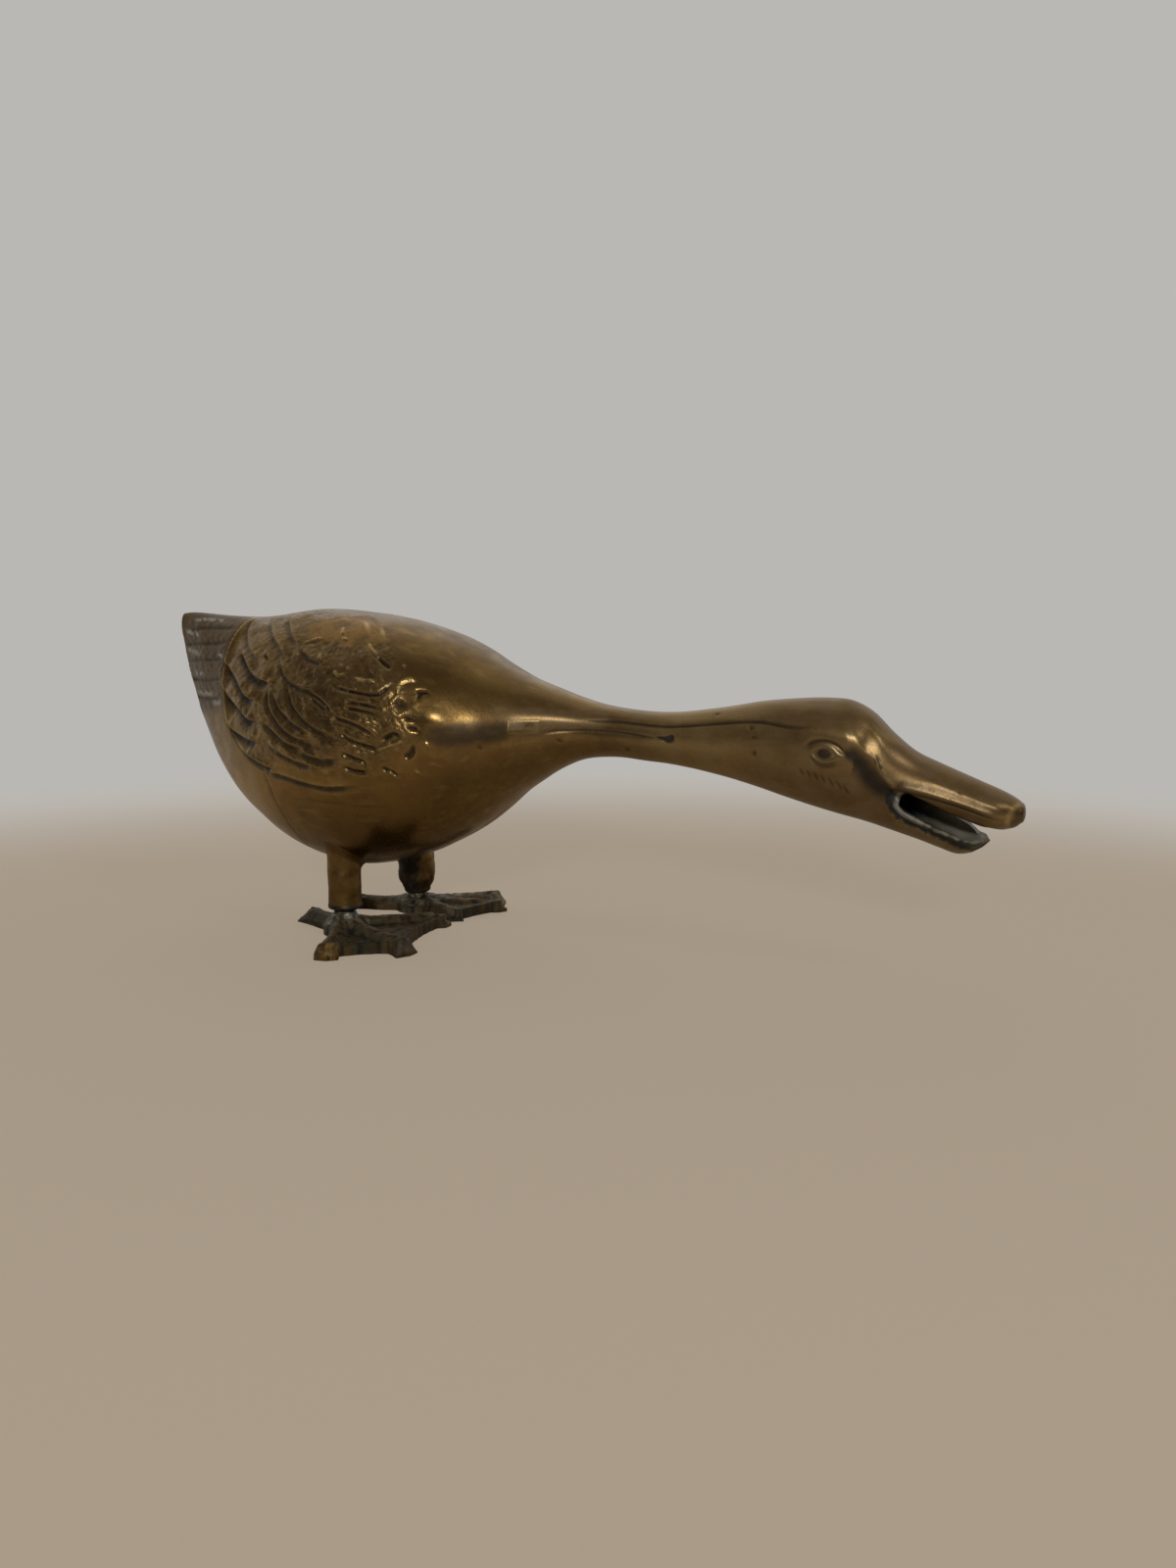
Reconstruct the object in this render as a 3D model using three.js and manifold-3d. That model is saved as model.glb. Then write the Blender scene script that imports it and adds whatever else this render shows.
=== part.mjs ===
// A brass goose figurine: hollow, its neck stretched forward, its bill open, on two webbed feet.
// The goose faces +X, its left is +Y and Z is up. Lengths are in millimetres.
import * as THREE from "three";
import { mergeVertices } from "three/addons/utils/BufferGeometryUtils.js";
import Module from "manifold-3d";

const wasm = await Module();
wasm.setup();

// Body and tail
const BODY_LENGTH = 158; // rear edge of the tail to the root of the neck
const BODY_HEIGHT = 90; // lowest belly to highest back
const BODY_WIDTH = 73;
const BELLY_CLEARANCE = 22; // lowest belly above the ground
const TAIL_REACH = 83; // rear edge of the tail behind the middle of the stance
const TAIL_SOLID = 28; // solid metal between the rear edge and the hollow
const BODY_WALL = 4;

// Neck, head and bill
const NECK_LENGTH = 65;
const NECK_HEIGHT = 16;
const NECK_WIDTH = 16;
const NECK_AXIS = 73; // the neck's axis above the ground
const HEAD_LENGTH = 38;
const HEAD_HEIGHT = 34.5;
const HEAD_WIDTH = 25;
const HEAD_WALL = 2.4;
const CROWN_RISE = 14.2; // the crown above the neck's axis
const BILL_LENGTH = 39;
const BILL_HEIGHT = 35; // root of the bill to the lowest point of the lower mandible
const BILL_WIDTH = 19.6;
const BILL_DROP = 30.3; // the lowest point of the lower mandible below the neck's axis
const TIP_SOLID = 5; // solid metal between the hollow and the tip of the bill

// Joins
const CLEARANCE = 0.3; // between pieces that fit into each other
const SEAM_THICKNESS = 0.6;
const PLUG_LENGTH = 9.6;
const PLUG_HEIGHT = 4.6;
const PLUG_SETBACK = 10; // centre of the plug behind the root of the neck
const PLUG_RISE = 2.7; // centre of the plug above the neck's axis

// Legs and feet
const LEG_SPACING = 35.6;
const LEG_STAGGER = 8; // how far the left leg stands ahead of the right
const LEG_DIAMETER = 11.6;
const SPIGOT_DIAMETER = 7;
const SPIGOT_PROUD = 3; // the spigot's end above the inside of the belly
const PEG_DIAMETER = 5.5;
const PEG_SHOWN = 3.8; // bare peg between the leg and the foot
const SOLE_COVER = 1.2; // metal under the peg
const BRAZE_WIDTH = 2.6;
const BRAZE_FLATNESS = 0.7; // height of the bead as a share of a round one
const SOLDER_WIDTH = 3;
const SOLDER_GAP = 0.8; // bare peg between the solder and the leg
const FOOT_HEIGHT = 5.2;
const HUB_MARGIN = 1.8; // rim of the foot's hub outside the solder
const WEB_THICKNESS = 2.4;
const WEB_SCALLOP = 2.5; // how far the web's edge dips between two toes
const TOE_HEIGHT = 4.8;
const TOE_WIDTH = 7.4;
const TOE_TIP_WIDTH = 6.6;
const RIGHT_TURN = THREE.MathUtils.degToRad(24); // the right foot's turn outwards
const RIGHT_OUTER_SPREAD = THREE.MathUtils.degToRad(45); // outer toe from the middle one
const RIGHT_INNER_SPREAD = THREE.MathUtils.degToRad(55); // inner toe from the middle one
const RIGHT_HIND_TURN = THREE.MathUtils.degToRad(10); // hind toe from straight back
const LEFT_TURN = THREE.MathUtils.degToRad(15); // the left foot's turn outwards
const LEFT_OUTER_SPREAD = THREE.MathUtils.degToRad(18);
const LEFT_INNER_SPREAD = THREE.MathUtils.degToRad(36);
const OUTER_TOE = 34;
const RIGHT_MIDDLE_TOE = 38;
const LEFT_MIDDLE_TOE = 34.5;
const RIGHT_INNER_TOE = 34;
const LEFT_INNER_TOE = 25;
const HIND_TOE = 28;

// Fineness of the curved surfaces
const RING_POINTS = 28;
const HOLLOW_POINTS = 18;
const ROUND_SIDES = 20;
const TOE_SIDES = 12;
const WEB_STEPS = 8; // along each curved edge of the web
const MOUTH_STEPS = 4; // between two points of the mouth's outline
const SLOPE_STEP = 0.5; // each way, where a slope is measured
const WELD = 1e-4; // points closer than this are one
const SECTION_FULLNESS = 2.15; // 2 is an ellipse, and more is squarer

// Places along the goose
const TAIL_X = -TAIL_REACH;
const NECK_X = TAIL_X + BODY_LENGTH;
const HEAD_X = NECK_X + NECK_LENGTH;
const BILL_X = HEAD_X + HEAD_LENGTH;
const TIP_X = BILL_X + BILL_LENGTH;

// Each region's outline is drawn in shares of its own length and height, and its widths in shares of
// its own half width.
const region = (x, length, z, height, width) => ({ x, length, z, height, width });
const body = region(TAIL_X, BODY_LENGTH, BELLY_CLEARANCE, BODY_HEIGHT, BODY_WIDTH);
const neck = region(NECK_X, NECK_LENGTH, NECK_AXIS - NECK_HEIGHT / 2, NECK_HEIGHT, NECK_WIDTH);
const head = region(HEAD_X, HEAD_LENGTH, NECK_AXIS + CROWN_RISE - HEAD_HEIGHT, HEAD_HEIGHT, HEAD_WIDTH);
const bill = region(BILL_X, BILL_LENGTH, NECK_AXIS - BILL_DROP, BILL_HEIGHT, BILL_WIDTH);

const heights = (part, shares) =>
  shares.map(([along, up]) => [part.x + along * part.length, part.z + up * part.height]);
const halfWidths = (part, shares) =>
  shares.map(([along, out]) => [part.x + along * part.length, (out * part.width) / 2]);

function curveThrough(points) {
  const spline = new THREE.CubicInterpolant(
    points.map(([x]) => x),
    points.map(([, value]) => value),
    1,
  );
  return (x) => spline.evaluate(x)[0];
}

const topAt = curveThrough([
  ...heights(body, [
    [0, 0.96], [0.037, 0.978], [0.15, 0.968], [0.25, 0.968], [0.4, 1], [0.54, 0.986],
    [0.65, 0.952], [0.75, 0.895], [0.85, 0.806], [0.92, 0.75],
  ]),
  ...heights(neck, [[0.11, 1.14], [0.34, 1], [0.55, 0.99], [0.78, 1.12]]),
  ...heights(head, [[0, 0.954], [0.34, 0.994], [0.52, 1], [0.69, 0.983], [0.86, 0.89]]),
  ...heights(bill, [
    [0.03, 0.99], [0.19, 0.85], [0.35, 0.769], [0.67, 0.626], [0.83, 0.554], [0.94, 0.49], [1, 0.43],
  ]),
]);

const bottomAt = curveThrough([
  ...heights(body, [
    [0, 0.92], [0.013, 0.79], [0.038, 0.635], [0.09, 0.42], [0.163, 0.252], [0.25, 0.137], [0.36, 0.045],
    [0.49, 0], [0.56, 0.008], [0.66, 0.06], [0.756, 0.14], [0.82, 0.214], [0.9, 0.338],
  ]),
  ...heights(neck, [[0.03, -0.13], [0.23, 0.02], [0.46, -0.03], [0.68, -0.13], [0.9, -0.31]]),
  ...heights(head, [[0.19, 0.1], [0.54, 0], [0.89, -0.08]]),
  ...heights(bill, [
    [0.22, 0.109], [0.4, 0.043], [0.55, 0], [0.7, 0.06], [0.84, 0.23], [0.94, 0.31], [1, 0.37],
  ]),
]);

const halfWidthAt = curveThrough([
  ...halfWidths(body, [
    [0, 0.045], [0.037, 0.12], [0.085, 0.24], [0.148, 0.38], [0.224, 0.55], [0.325, 0.75], [0.432, 0.905],
    [0.558, 1], [0.653, 0.985], [0.754, 0.88], [0.842, 0.7], [0.918, 0.5],
  ]),
  ...halfWidths(neck, [[0.02, 1.48], [0.17, 1.17], [0.354, 1], [0.54, 0.975], [0.69, 1.04], [0.88, 1.19]]),
  ...halfWidths(head, [[0.105, 0.88], [0.42, 0.985], [0.68, 1], [0.92, 0.9]]),
  ...halfWidths(bill, [[0.15, 1.02], [0.41, 0.98], [0.667, 0.92], [0.846, 0.7], [0.95, 0.42], [1, 0.22]]),
]);

// The hollow's wall thins along the neck, from the body's to the head's.
const { lerp, smoothstep } = THREE.MathUtils;
const wallAt = (x) => lerp(BODY_WALL, HEAD_WALL, smoothstep(x, NECK_X, HEAD_X));

// How much a wall, measured square to an outline, takes from it at x.
function wallAcross(outline, x, wall) {
  const rise = outline(x + SLOPE_STEP) - outline(x - SLOPE_STEP);
  return wall * Math.hypot(1, rise / (2 * SLOPE_STEP));
}

// The goose's section at x, drawn in by inset.
function sectionAt(x, inset) {
  const top = topAt(x) - wallAcross(topAt, x, inset);
  const bottom = bottomAt(x) + wallAcross(bottomAt, x, inset);
  const halfWidth = halfWidthAt(x) - wallAcross(halfWidthAt, x, inset);
  return { middle: (top + bottom) / 2, halfHeight: (top - bottom) / 2, halfWidth };
}

function ring(x, inset, count) {
  const { middle, halfHeight, halfWidth } = sectionAt(x, inset);
  const round = (part) => Math.sign(part) * Math.abs(part) ** (2 / SECTION_FULLNESS);
  return Array.from({ length: count }, (_, i) => {
    const turn = (2 * Math.PI * i) / count;
    const out = halfWidth * round(Math.cos(turn));
    const up = halfHeight * round(Math.sin(turn));
    return new THREE.Vector3(x, out, middle + up);
  });
}

// A closed skin over rings of equal count, with a fan at each end.
function loft(rings) {
  const count = rings[0].length;
  const points = rings.flat();
  const centreOf = (loop) => loop.reduce((sum, p) => sum.add(p), new THREE.Vector3()).divideScalar(count);
  const first = points.push(centreOf(rings[0])) - 1;
  const last = points.push(centreOf(rings.at(-1))) - 1;
  const triangles = [];
  for (let i = 0; i < count; i++) {
    const next = (i + 1) % count;
    for (let row = 0; row < (rings.length - 1) * count; row += count) {
      triangles.push(row + i, row + next, row + count + i);
      triangles.push(row + next, row + count + next, row + count + i);
    }
    const end = (rings.length - 1) * count;
    triangles.push(first, next, i, last, end + i, end + next);
  }
  return new THREE.BufferGeometry().setFromPoints(points).setIndex(triangles);
}

// Even steps from one place to the next; each entry is [end, steps].
function steps(start, ...stretches) {
  const places = [start];
  for (const [end, count] of stretches) {
    const from = places.at(-1);
    for (let i = 1; i <= count; i++) places.push(from + ((end - from) * i) / count);
  }
  return places;
}

function solid(geometry) {
  const bare = geometry.clone();
  bare.deleteAttribute("normal");
  bare.deleteAttribute("uv");
  const merged = mergeVertices(bare, WELD);
  return new wasm.Manifold(
    new wasm.Mesh({
      numProp: 3,
      vertProperties: new Float32Array(merged.attributes.position.array),
      triVerts: new Uint32Array(merged.index.array),
    }),
  );
}

function geometryOf(made) {
  const mesh = made.getMesh();
  const geometry = new THREE.BufferGeometry()
    .setAttribute("position", new THREE.BufferAttribute(mesh.vertProperties, 3))
    .setIndex(new THREE.BufferAttribute(mesh.triVerts, 1));
  geometry.computeVertexNormals();
  return geometry;
}

// An upright round bar from one height to another.
function bar(diameter, from, to, x = 0, y = 0, topDiameter = diameter) {
  const geometry = new THREE.CylinderGeometry(topDiameter / 2, diameter / 2, to - from, ROUND_SIDES);
  geometry.rotateX(Math.PI / 2);
  return solid(geometry.translate(x, y, (from + to) / 2));
}

const block = (length, width, height, x, y, z) =>
  solid(new THREE.BoxGeometry(length, width, height).translate(x, y, z));

// Shell of the goose, before it is split
const HOLLOW_START = TAIL_X + TAIL_SOLID;
const HOLLOW_END = TIP_X - TIP_SOLID;
const outerPlaces = steps(TAIL_X, [HOLLOW_START, 9], [NECK_X, 15], [HEAD_X, 8], [BILL_X, 8], [TIP_X, 11]);
const hollowPlaces = steps(HOLLOW_START, [NECK_X, 11], [HEAD_X, 6], [BILL_X, 6], [HOLLOW_END, 7]);
const outside = (inset) => solid(loft(outerPlaces.map((x) => ring(x, inset, RING_POINTS))));
const goose = outside(0);
const gooseWithRoom = outside(-CLEARANCE);
const hollow = solid(loft(hollowPlaces.map((x) => ring(x, wallAt(x), HOLLOW_POINTS))));

// The open bill: a slot right across it, from the corner of the mouth to past the tip. Its outline is
// in shares of the bill's length and height.
function mouthSlot() {
  const at = ([along, up]) => new THREE.Vector2(bill.x + along * bill.length, bill.z + up * bill.height);
  const corner = at([0.02, 0.457]);
  const upperLip = [
    [0.077, 0.545], [0.156, 0.535], [0.367, 0.426], [0.636, 0.294], [0.826, 0.24], [1.05, 0.1],
  ].map(at);
  const lowerLip = [
    [0.83, -0.02], [0.755, 0.135], [0.59, 0.123], [0.436, 0.166], [0.164, 0.3], [0.05, 0.38],
  ].map(at);
  const outline = new THREE.Shape();
  outline.moveTo(corner.x, corner.y);
  outline.splineThru(upperLip);
  outline.lineTo(lowerLip[0].x, lowerLip[0].y);
  outline.splineThru([...lowerLip.slice(1), corner]);
  const depth = 2 * BILL_WIDTH;
  const options = { depth, bevelEnabled: false, curveSegments: MOUTH_STEPS };
  const geometry = new THREE.ExtrudeGeometry(outline, options);
  return solid(geometry.rotateX(Math.PI / 2).translate(0, depth / 2, 0));
}

// The legs stand each side of the mid-plane: side is -1 for the right and 1 for the left.
const legPlace = (side) => new THREE.Vector2((side * LEG_STAGGER) / 2, (side * LEG_SPACING) / 2);

function undersideAt({ x, y }) {
  const { middle, halfHeight, halfWidth } = sectionAt(x, 0);
  return middle - halfHeight * (1 - Math.abs(y / halfWidth) ** SECTION_FULLNESS) ** (1 / SECTION_FULLNESS);
}

function undersideNormal({ x, y }) {
  const slope = (dx, dy) =>
    (undersideAt({ x: x + dx, y: y + dy }) - undersideAt({ x: x - dx, y: y - dy })) / (2 * SLOPE_STEP);
  return new THREE.Vector3(slope(SLOPE_STEP, 0), slope(0, SLOPE_STEP), -1).normalize();
}

function spigotTop(place) {
  return undersideAt(place) - BODY_WALL / undersideNormal(place).z + SPIGOT_PROUD;
}

function spigotHole(side) {
  const place = legPlace(side);
  const below = undersideAt(place) - LEG_DIAMETER;
  return bar(SPIGOT_DIAMETER + 2 * CLEARANCE, below, spigotTop(place) + CLEARANCE, place.x, place.y);
}

function leg(side) {
  const place = legPlace(side);
  const foot = FOOT_HEIGHT + PEG_SHOWN;
  const overlap = (undersideAt(place) - foot) / 2;
  const post = bar(LEG_DIAMETER, foot, undersideAt(place) + LEG_DIAMETER, place.x, place.y);
  const spigot = bar(SPIGOT_DIAMETER, foot + overlap, spigotTop(place), place.x, place.y);
  const peg = bar(PEG_DIAMETER, SOLE_COVER, foot + overlap, place.x, place.y);
  return post.subtract(gooseWithRoom).add(spigot).add(peg);
}

// A bead round the top of the leg: a ball set on the belly, flattened square to it.
function legBraze(side) {
  const place = legPlace(side);
  const normal = undersideNormal(place);
  const ball = new THREE.SphereGeometry(LEG_DIAMETER / 2 + BRAZE_WIDTH, ROUND_SIDES, ROUND_SIDES / 2);
  ball.rotateX(Math.PI / 2).scale(1, 1, BRAZE_FLATNESS);
  ball.applyQuaternion(new THREE.Quaternion().setFromUnitVectors(new THREE.Vector3(0, 0, -1), normal));
  ball.translate(place.x, place.y, undersideAt(place));
  const legRoom = bar(LEG_DIAMETER + 2 * CLEARANCE, 0, BELLY_CLEARANCE + BODY_HEIGHT, place.x, place.y);
  return solid(ball).subtract(gooseWithRoom).subtract(legRoom);
}

// A square plug through one side of the shell, at the root of the neck.
function plugBlock(side, room) {
  const reach = BODY_WIDTH;
  const nearest = SEAM_THICKNESS + CLEARANCE;
  const y = side * (nearest + reach / 2);
  const [x, z] = [NECK_X - PLUG_SETBACK, NECK_AXIS + PLUG_RISE];
  return block(PLUG_LENGTH + 2 * room, reach, PLUG_HEIGHT + 2 * room, x, y, z);
}

// Feet, drawn round the peg with the middle toe along +X and the outer toe on the side given
const SOLDER_RADIUS = PEG_DIAMETER / 2 + CLEARANCE + SOLDER_WIDTH;
const HUB_RADIUS = SOLDER_RADIUS + HUB_MARGIN;
const RIGHT_TOES = [
  [-RIGHT_OUTER_SPREAD, OUTER_TOE],
  [0, RIGHT_MIDDLE_TOE],
  [RIGHT_INNER_SPREAD, RIGHT_INNER_TOE],
  [Math.PI + RIGHT_HIND_TURN, HIND_TOE],
];
const LEFT_TOES = [
  [LEFT_OUTER_SPREAD, OUTER_TOE],
  [0, LEFT_MIDDLE_TOE],
  [-LEFT_INNER_SPREAD, LEFT_INNER_TOE],
  [Math.PI, HIND_TOE],
];
const toesOf = (side) => (side < 0 ? RIGHT_TOES : LEFT_TOES);

// A half-round toe that tapers to a rounded tip.
function toe(angle, length) {
  const straight = length - TOE_TIP_WIDTH / 2;
  const lift = TOE_HEIGHT / (TOE_WIDTH / 2);
  const place = (geometry) => solid(geometry.scale(1, 1, lift).rotateZ(angle));
  const shaft = new THREE.CylinderGeometry(TOE_TIP_WIDTH / 2, TOE_WIDTH / 2, straight, TOE_SIDES);
  shaft.rotateZ(-Math.PI / 2).translate(straight / 2, 0, 0);
  const tip = new THREE.SphereGeometry(TOE_TIP_WIDTH / 2, TOE_SIDES, TOE_SIDES / 2);
  tip.translate(straight, 0, 0);
  return place(shaft).add(place(tip));
}

function web(side) {
  const at = (angle, reach) => new THREE.Vector2(reach * Math.cos(angle), reach * Math.sin(angle));
  const [outer, middle, inner] = toesOf(side).map(([angle, length]) => at(angle, length - TOE_TIP_WIDTH / 2));
  const dip = (a, b) => {
    const between = a.clone().add(b).divideScalar(2);
    return between.setLength(between.length() - 2 * WEB_SCALLOP);
  };
  const outline = new THREE.Shape();
  outline.moveTo(0, (side * HUB_RADIUS) / 2);
  outline.lineTo(outer.x, outer.y);
  outline.quadraticCurveTo(...dip(outer, middle), middle.x, middle.y);
  outline.quadraticCurveTo(...dip(middle, inner), inner.x, inner.y);
  outline.lineTo(0, (-side * HUB_RADIUS) / 2);
  const options = { depth: WEB_THICKNESS, bevelEnabled: false, curveSegments: WEB_STEPS };
  return solid(new THREE.ExtrudeGeometry(outline, options));
}

function foot(side) {
  const reach = RIGHT_MIDDLE_TOE + LEFT_MIDDLE_TOE;
  const ground = block(2 * reach, 2 * reach, FOOT_HEIGHT * 2, 0, 0, -FOOT_HEIGHT);
  const tooHigh = block(2 * reach, 2 * reach, FOOT_HEIGHT * 2, 0, 0, FOOT_HEIGHT * 2);
  const pegHole = bar(PEG_DIAMETER + 2 * CLEARANCE, SOLE_COVER - CLEARANCE, FOOT_HEIGHT * 2);
  const hub = bar(2 * HUB_RADIUS, 0, FOOT_HEIGHT);
  const plate = hub.add(web(side));
  const whole = toesOf(side).reduce((made, [angle, length]) => made.add(toe(angle, length)), plate);
  return whole.subtract(ground).subtract(tooHigh).subtract(pegHole);
}

function footSolder() {
  const inside = PEG_DIAMETER + 2 * CLEARANCE;
  const top = FOOT_HEIGHT + PEG_SHOWN - SOLDER_GAP;
  const cone = bar(2 * SOLDER_RADIUS, FOOT_HEIGHT, top, 0, 0, inside + SOLDER_WIDTH / 2);
  return cone.subtract(bar(inside, FOOT_HEIGHT / 2, top + PEG_SHOWN));
}

// Materials
const brass = new THREE.MeshStandardMaterial({ color: 0x8a6d3b, metalness: 1, roughness: 0.38 });
const agedBrass = new THREE.MeshStandardMaterial({ color: 0x5f5138, metalness: 1, roughness: 0.5 });
const braze = new THREE.MeshStandardMaterial({ color: 0x7d6840, metalness: 1, roughness: 0.45 });
const solder = new THREE.MeshStandardMaterial({ color: 0x9a9890, metalness: 1, roughness: 0.6 });

// Assembly
const root = new THREE.Group();
const sideNames = new Map([[-1, "right"], [1, "left"]]);

function addPiece(name, made, material, place = new THREE.Vector2(), turn = 0) {
  const mesh = new THREE.Mesh(geometryOf(made), material);
  mesh.name = name;
  mesh.position.set(place.x, place.y, 0);
  mesh.rotation.z = turn;
  root.add(mesh);
}

const casting = goose.subtract(hollow).subtract(mouthSlot());
const longEnough = 3 * (BODY_LENGTH + NECK_LENGTH + HEAD_LENGTH + BILL_LENGTH);
const midSlab = block(longEnough, SEAM_THICKNESS, longEnough, 0, 0, 0);
addPiece("seam_braze", casting.intersect(midSlab), braze);

for (const [side, name] of sideNames) {
  const beside = (side * (longEnough + SEAM_THICKNESS)) / 2;
  const halfSpace = block(longEnough, longEnough, longEnough, 0, beside, 0);
  const half = casting.intersect(halfSpace);
  const shell = half.subtract(spigotHole(side)).subtract(plugBlock(side, CLEARANCE));
  const turn = side < 0 ? -RIGHT_TURN : LEFT_TURN;
  addPiece(name + "_shell", shell, brass);
  addPiece(name + "_core_plug", half.intersect(plugBlock(side, 0)), brass);
  addPiece(name + "_leg", leg(side), brass);
  addPiece(name + "_leg_braze", legBraze(side), braze);
  addPiece(name + "_foot", foot(side), agedBrass, legPlace(side), turn);
  addPiece(name + "_foot_solder", footSolder(), solder, legPlace(side), turn);
}

// The origin is under the middle of the whole goose, on the ground.
const middle = new THREE.Box3().setFromObject(root, true).getCenter(new THREE.Vector3());
root.position.set(-middle.x, -middle.y, 0);

export default root;
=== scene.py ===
"""The looks of a brass goose figurine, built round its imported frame.

Shapes are worked out in millimetres in the goose's own frame: +X forward, +Y left, Z up, with the origin
on the ground between the legs. Each half of the casting is a dense skin over the frame's own outlines.
Its carving is drawn on the flattened skin, as x along the goose and the girth down from the top line.
"""
import math

import bpy
import numpy as np
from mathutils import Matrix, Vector
from mathutils.geometry import delaunay_2d_cdt


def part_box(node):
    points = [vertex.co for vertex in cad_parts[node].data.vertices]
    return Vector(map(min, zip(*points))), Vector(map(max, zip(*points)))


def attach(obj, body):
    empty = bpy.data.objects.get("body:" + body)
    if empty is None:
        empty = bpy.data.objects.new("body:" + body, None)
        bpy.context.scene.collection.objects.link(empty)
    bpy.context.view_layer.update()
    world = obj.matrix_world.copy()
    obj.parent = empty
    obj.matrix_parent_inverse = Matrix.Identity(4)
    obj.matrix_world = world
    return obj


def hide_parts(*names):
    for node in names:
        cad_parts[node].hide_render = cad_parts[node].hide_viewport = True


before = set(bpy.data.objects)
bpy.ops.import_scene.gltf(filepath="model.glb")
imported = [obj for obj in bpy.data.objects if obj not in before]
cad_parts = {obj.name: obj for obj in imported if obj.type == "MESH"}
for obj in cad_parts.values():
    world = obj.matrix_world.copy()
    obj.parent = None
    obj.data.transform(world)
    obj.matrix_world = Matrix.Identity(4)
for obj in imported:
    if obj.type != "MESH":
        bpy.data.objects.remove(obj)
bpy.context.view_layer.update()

MM = 0.001
TAIL_X, NECK_X, HEAD_X, BILL_X, TIP_X = -83.0, 75.0, 140.0, 178.0, 217.0
HOLLOW_START, FACE_X, HOLLOW_END = -55.0, 168.0, 212.0
HALF_SEAM = 0.3
FULLNESS = 2.15
BODY_WALL, HEAD_WALL = 4.0, 2.4
BODY_ROWS, HEAD_ROWS, INNER_ROWS = 208, 104, 44
CHANGE_X = 52.0  # where the skin goes from the body's rows to the head's
RIGHT, LEFT = -1, 1
SIDE_NAMES = {RIGHT: "right", LEFT: "left"}

seam_low, seam_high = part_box("seam_braze")
ORIGIN = np.array([seam_low.x - TAIL_X * MM, (seam_low.y + seam_high.y) / 2, 0.0])


def place(points):
    """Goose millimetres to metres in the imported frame."""
    return np.asarray(points, float) * MM + ORIGIN


# Outlines, as in the solids: each region's start, length, lowest height, height and width, and its
# curves in shares of those.
BODY = (TAIL_X, 158.0, 22.0, 90.0, 73.0)
NECK = (NECK_X, 65.0, 65.0, 16.0, 16.0)
HEAD = (HEAD_X, 38.0, 52.7, 34.5, 25.0)
BILL = (BILL_X, 39.0, 42.7, 35.0, 19.6)
TOP = (
    (BODY, ((0, 0.974), (0.037, 0.98), (0.15, 0.968), (0.25, 0.968), (0.4, 1), (0.54, 0.986),
            (0.65, 0.952), (0.75, 0.895), (0.85, 0.806), (0.92, 0.75))),
    (NECK, ((0.11, 1.14), (0.34, 1), (0.55, 0.99), (0.78, 1.12))),
    (HEAD, ((0, 0.954), (0.34, 0.994), (0.52, 1), (0.69, 0.983), (0.86, 0.89))),
    (BILL, ((0.03, 0.99), (0.19, 0.85), (0.35, 0.769), (0.67, 0.626), (0.83, 0.554), (0.94, 0.49),
            (1, 0.43))),
)
BOTTOM = (
    (BODY, ((0, 0.935), (0.013, 0.79), (0.038, 0.635), (0.09, 0.42), (0.163, 0.252), (0.25, 0.137),
            (0.36, 0.045), (0.49, 0), (0.56, 0.008), (0.66, 0.06), (0.756, 0.14), (0.82, 0.214),
            (0.9, 0.338))),
    (NECK, ((0.03, -0.13), (0.23, 0.02), (0.46, -0.03), (0.68, -0.13), (0.9, -0.31))),
    (HEAD, ((0.19, 0.1), (0.54, 0), (0.89, -0.08))),
    (BILL, ((0.22, 0.109), (0.4, 0.043), (0.55, 0), (0.7, 0.06), (0.84, 0.22), (0.94, 0.265), (1, 0.34))),
)
WIDTH = (
    (BODY, ((0, 0.045), (0.037, 0.12), (0.085, 0.24), (0.148, 0.38), (0.224, 0.55), (0.325, 0.75),
            (0.432, 0.905), (0.558, 1), (0.653, 0.985), (0.754, 0.88), (0.842, 0.7), (0.918, 0.5))),
    (NECK, ((0.02, 1.48), (0.17, 1.17), (0.354, 1), (0.54, 0.975), (0.69, 1.04), (0.88, 1.19))),
    (HEAD, ((0.105, 0.88), (0.42, 0.985), (0.68, 1), (0.92, 0.9))),
    (BILL, ((0.15, 1.02), (0.41, 0.98), (0.667, 0.92), (0.846, 0.74), (0.95, 0.53), (1, 0.33))),
)


def curve_through(knots):
    """A smooth function through (x, value) knots, with each knot's slope taken from its neighbours."""
    xs, ys = np.array(knots, float).T
    slope = np.empty(len(xs))
    slope[1:-1] = (ys[2:] - ys[:-2]) / (xs[2:] - xs[:-2])
    slope[0] = 1.5 * (ys[1] - ys[0]) / (xs[1] - xs[0]) - slope[1] / 2
    slope[-1] = 1.5 * (ys[-1] - ys[-2]) / (xs[-1] - xs[-2]) - slope[-2] / 2

    def value(x):
        i = np.clip(np.searchsorted(xs, x, side="right") - 1, 0, len(xs) - 2)
        h = xs[i + 1] - xs[i]
        t = np.clip((x - xs[i]) / h, 0, 1)
        rise = ys[i + 1] - ys[i]
        first, last = slope[i] * h, slope[i + 1] * h
        return ys[i] + first * t + (3 * rise - 2 * first - last) * t**2 + (first + last - 2 * rise) * t**3

    return value


top_at = curve_through([(x + a * w, z + s * h) for (x, w, z, h, _), row in TOP for a, s in row])
bottom_at = curve_through([(x + a * w, z + s * h) for (x, w, z, h, _), row in BOTTOM for a, s in row])
half_width_at = curve_through([
    (x + a * w, s * wide / 2) for (x, w, _, _, wide), row in WIDTH for a, s in row
])


def smoothstep(low, high, value):
    t = np.clip((value - low) / (high - low), 0, 1)
    return t * t * (3 - 2 * t)


def bell(value, width, power=2):
    return np.exp(-(np.abs(value / width) ** power))


def heading(degrees):
    """The cosine and sine of an angle."""
    return math.cos(math.radians(degrees)), math.sin(math.radians(degrees))


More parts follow.
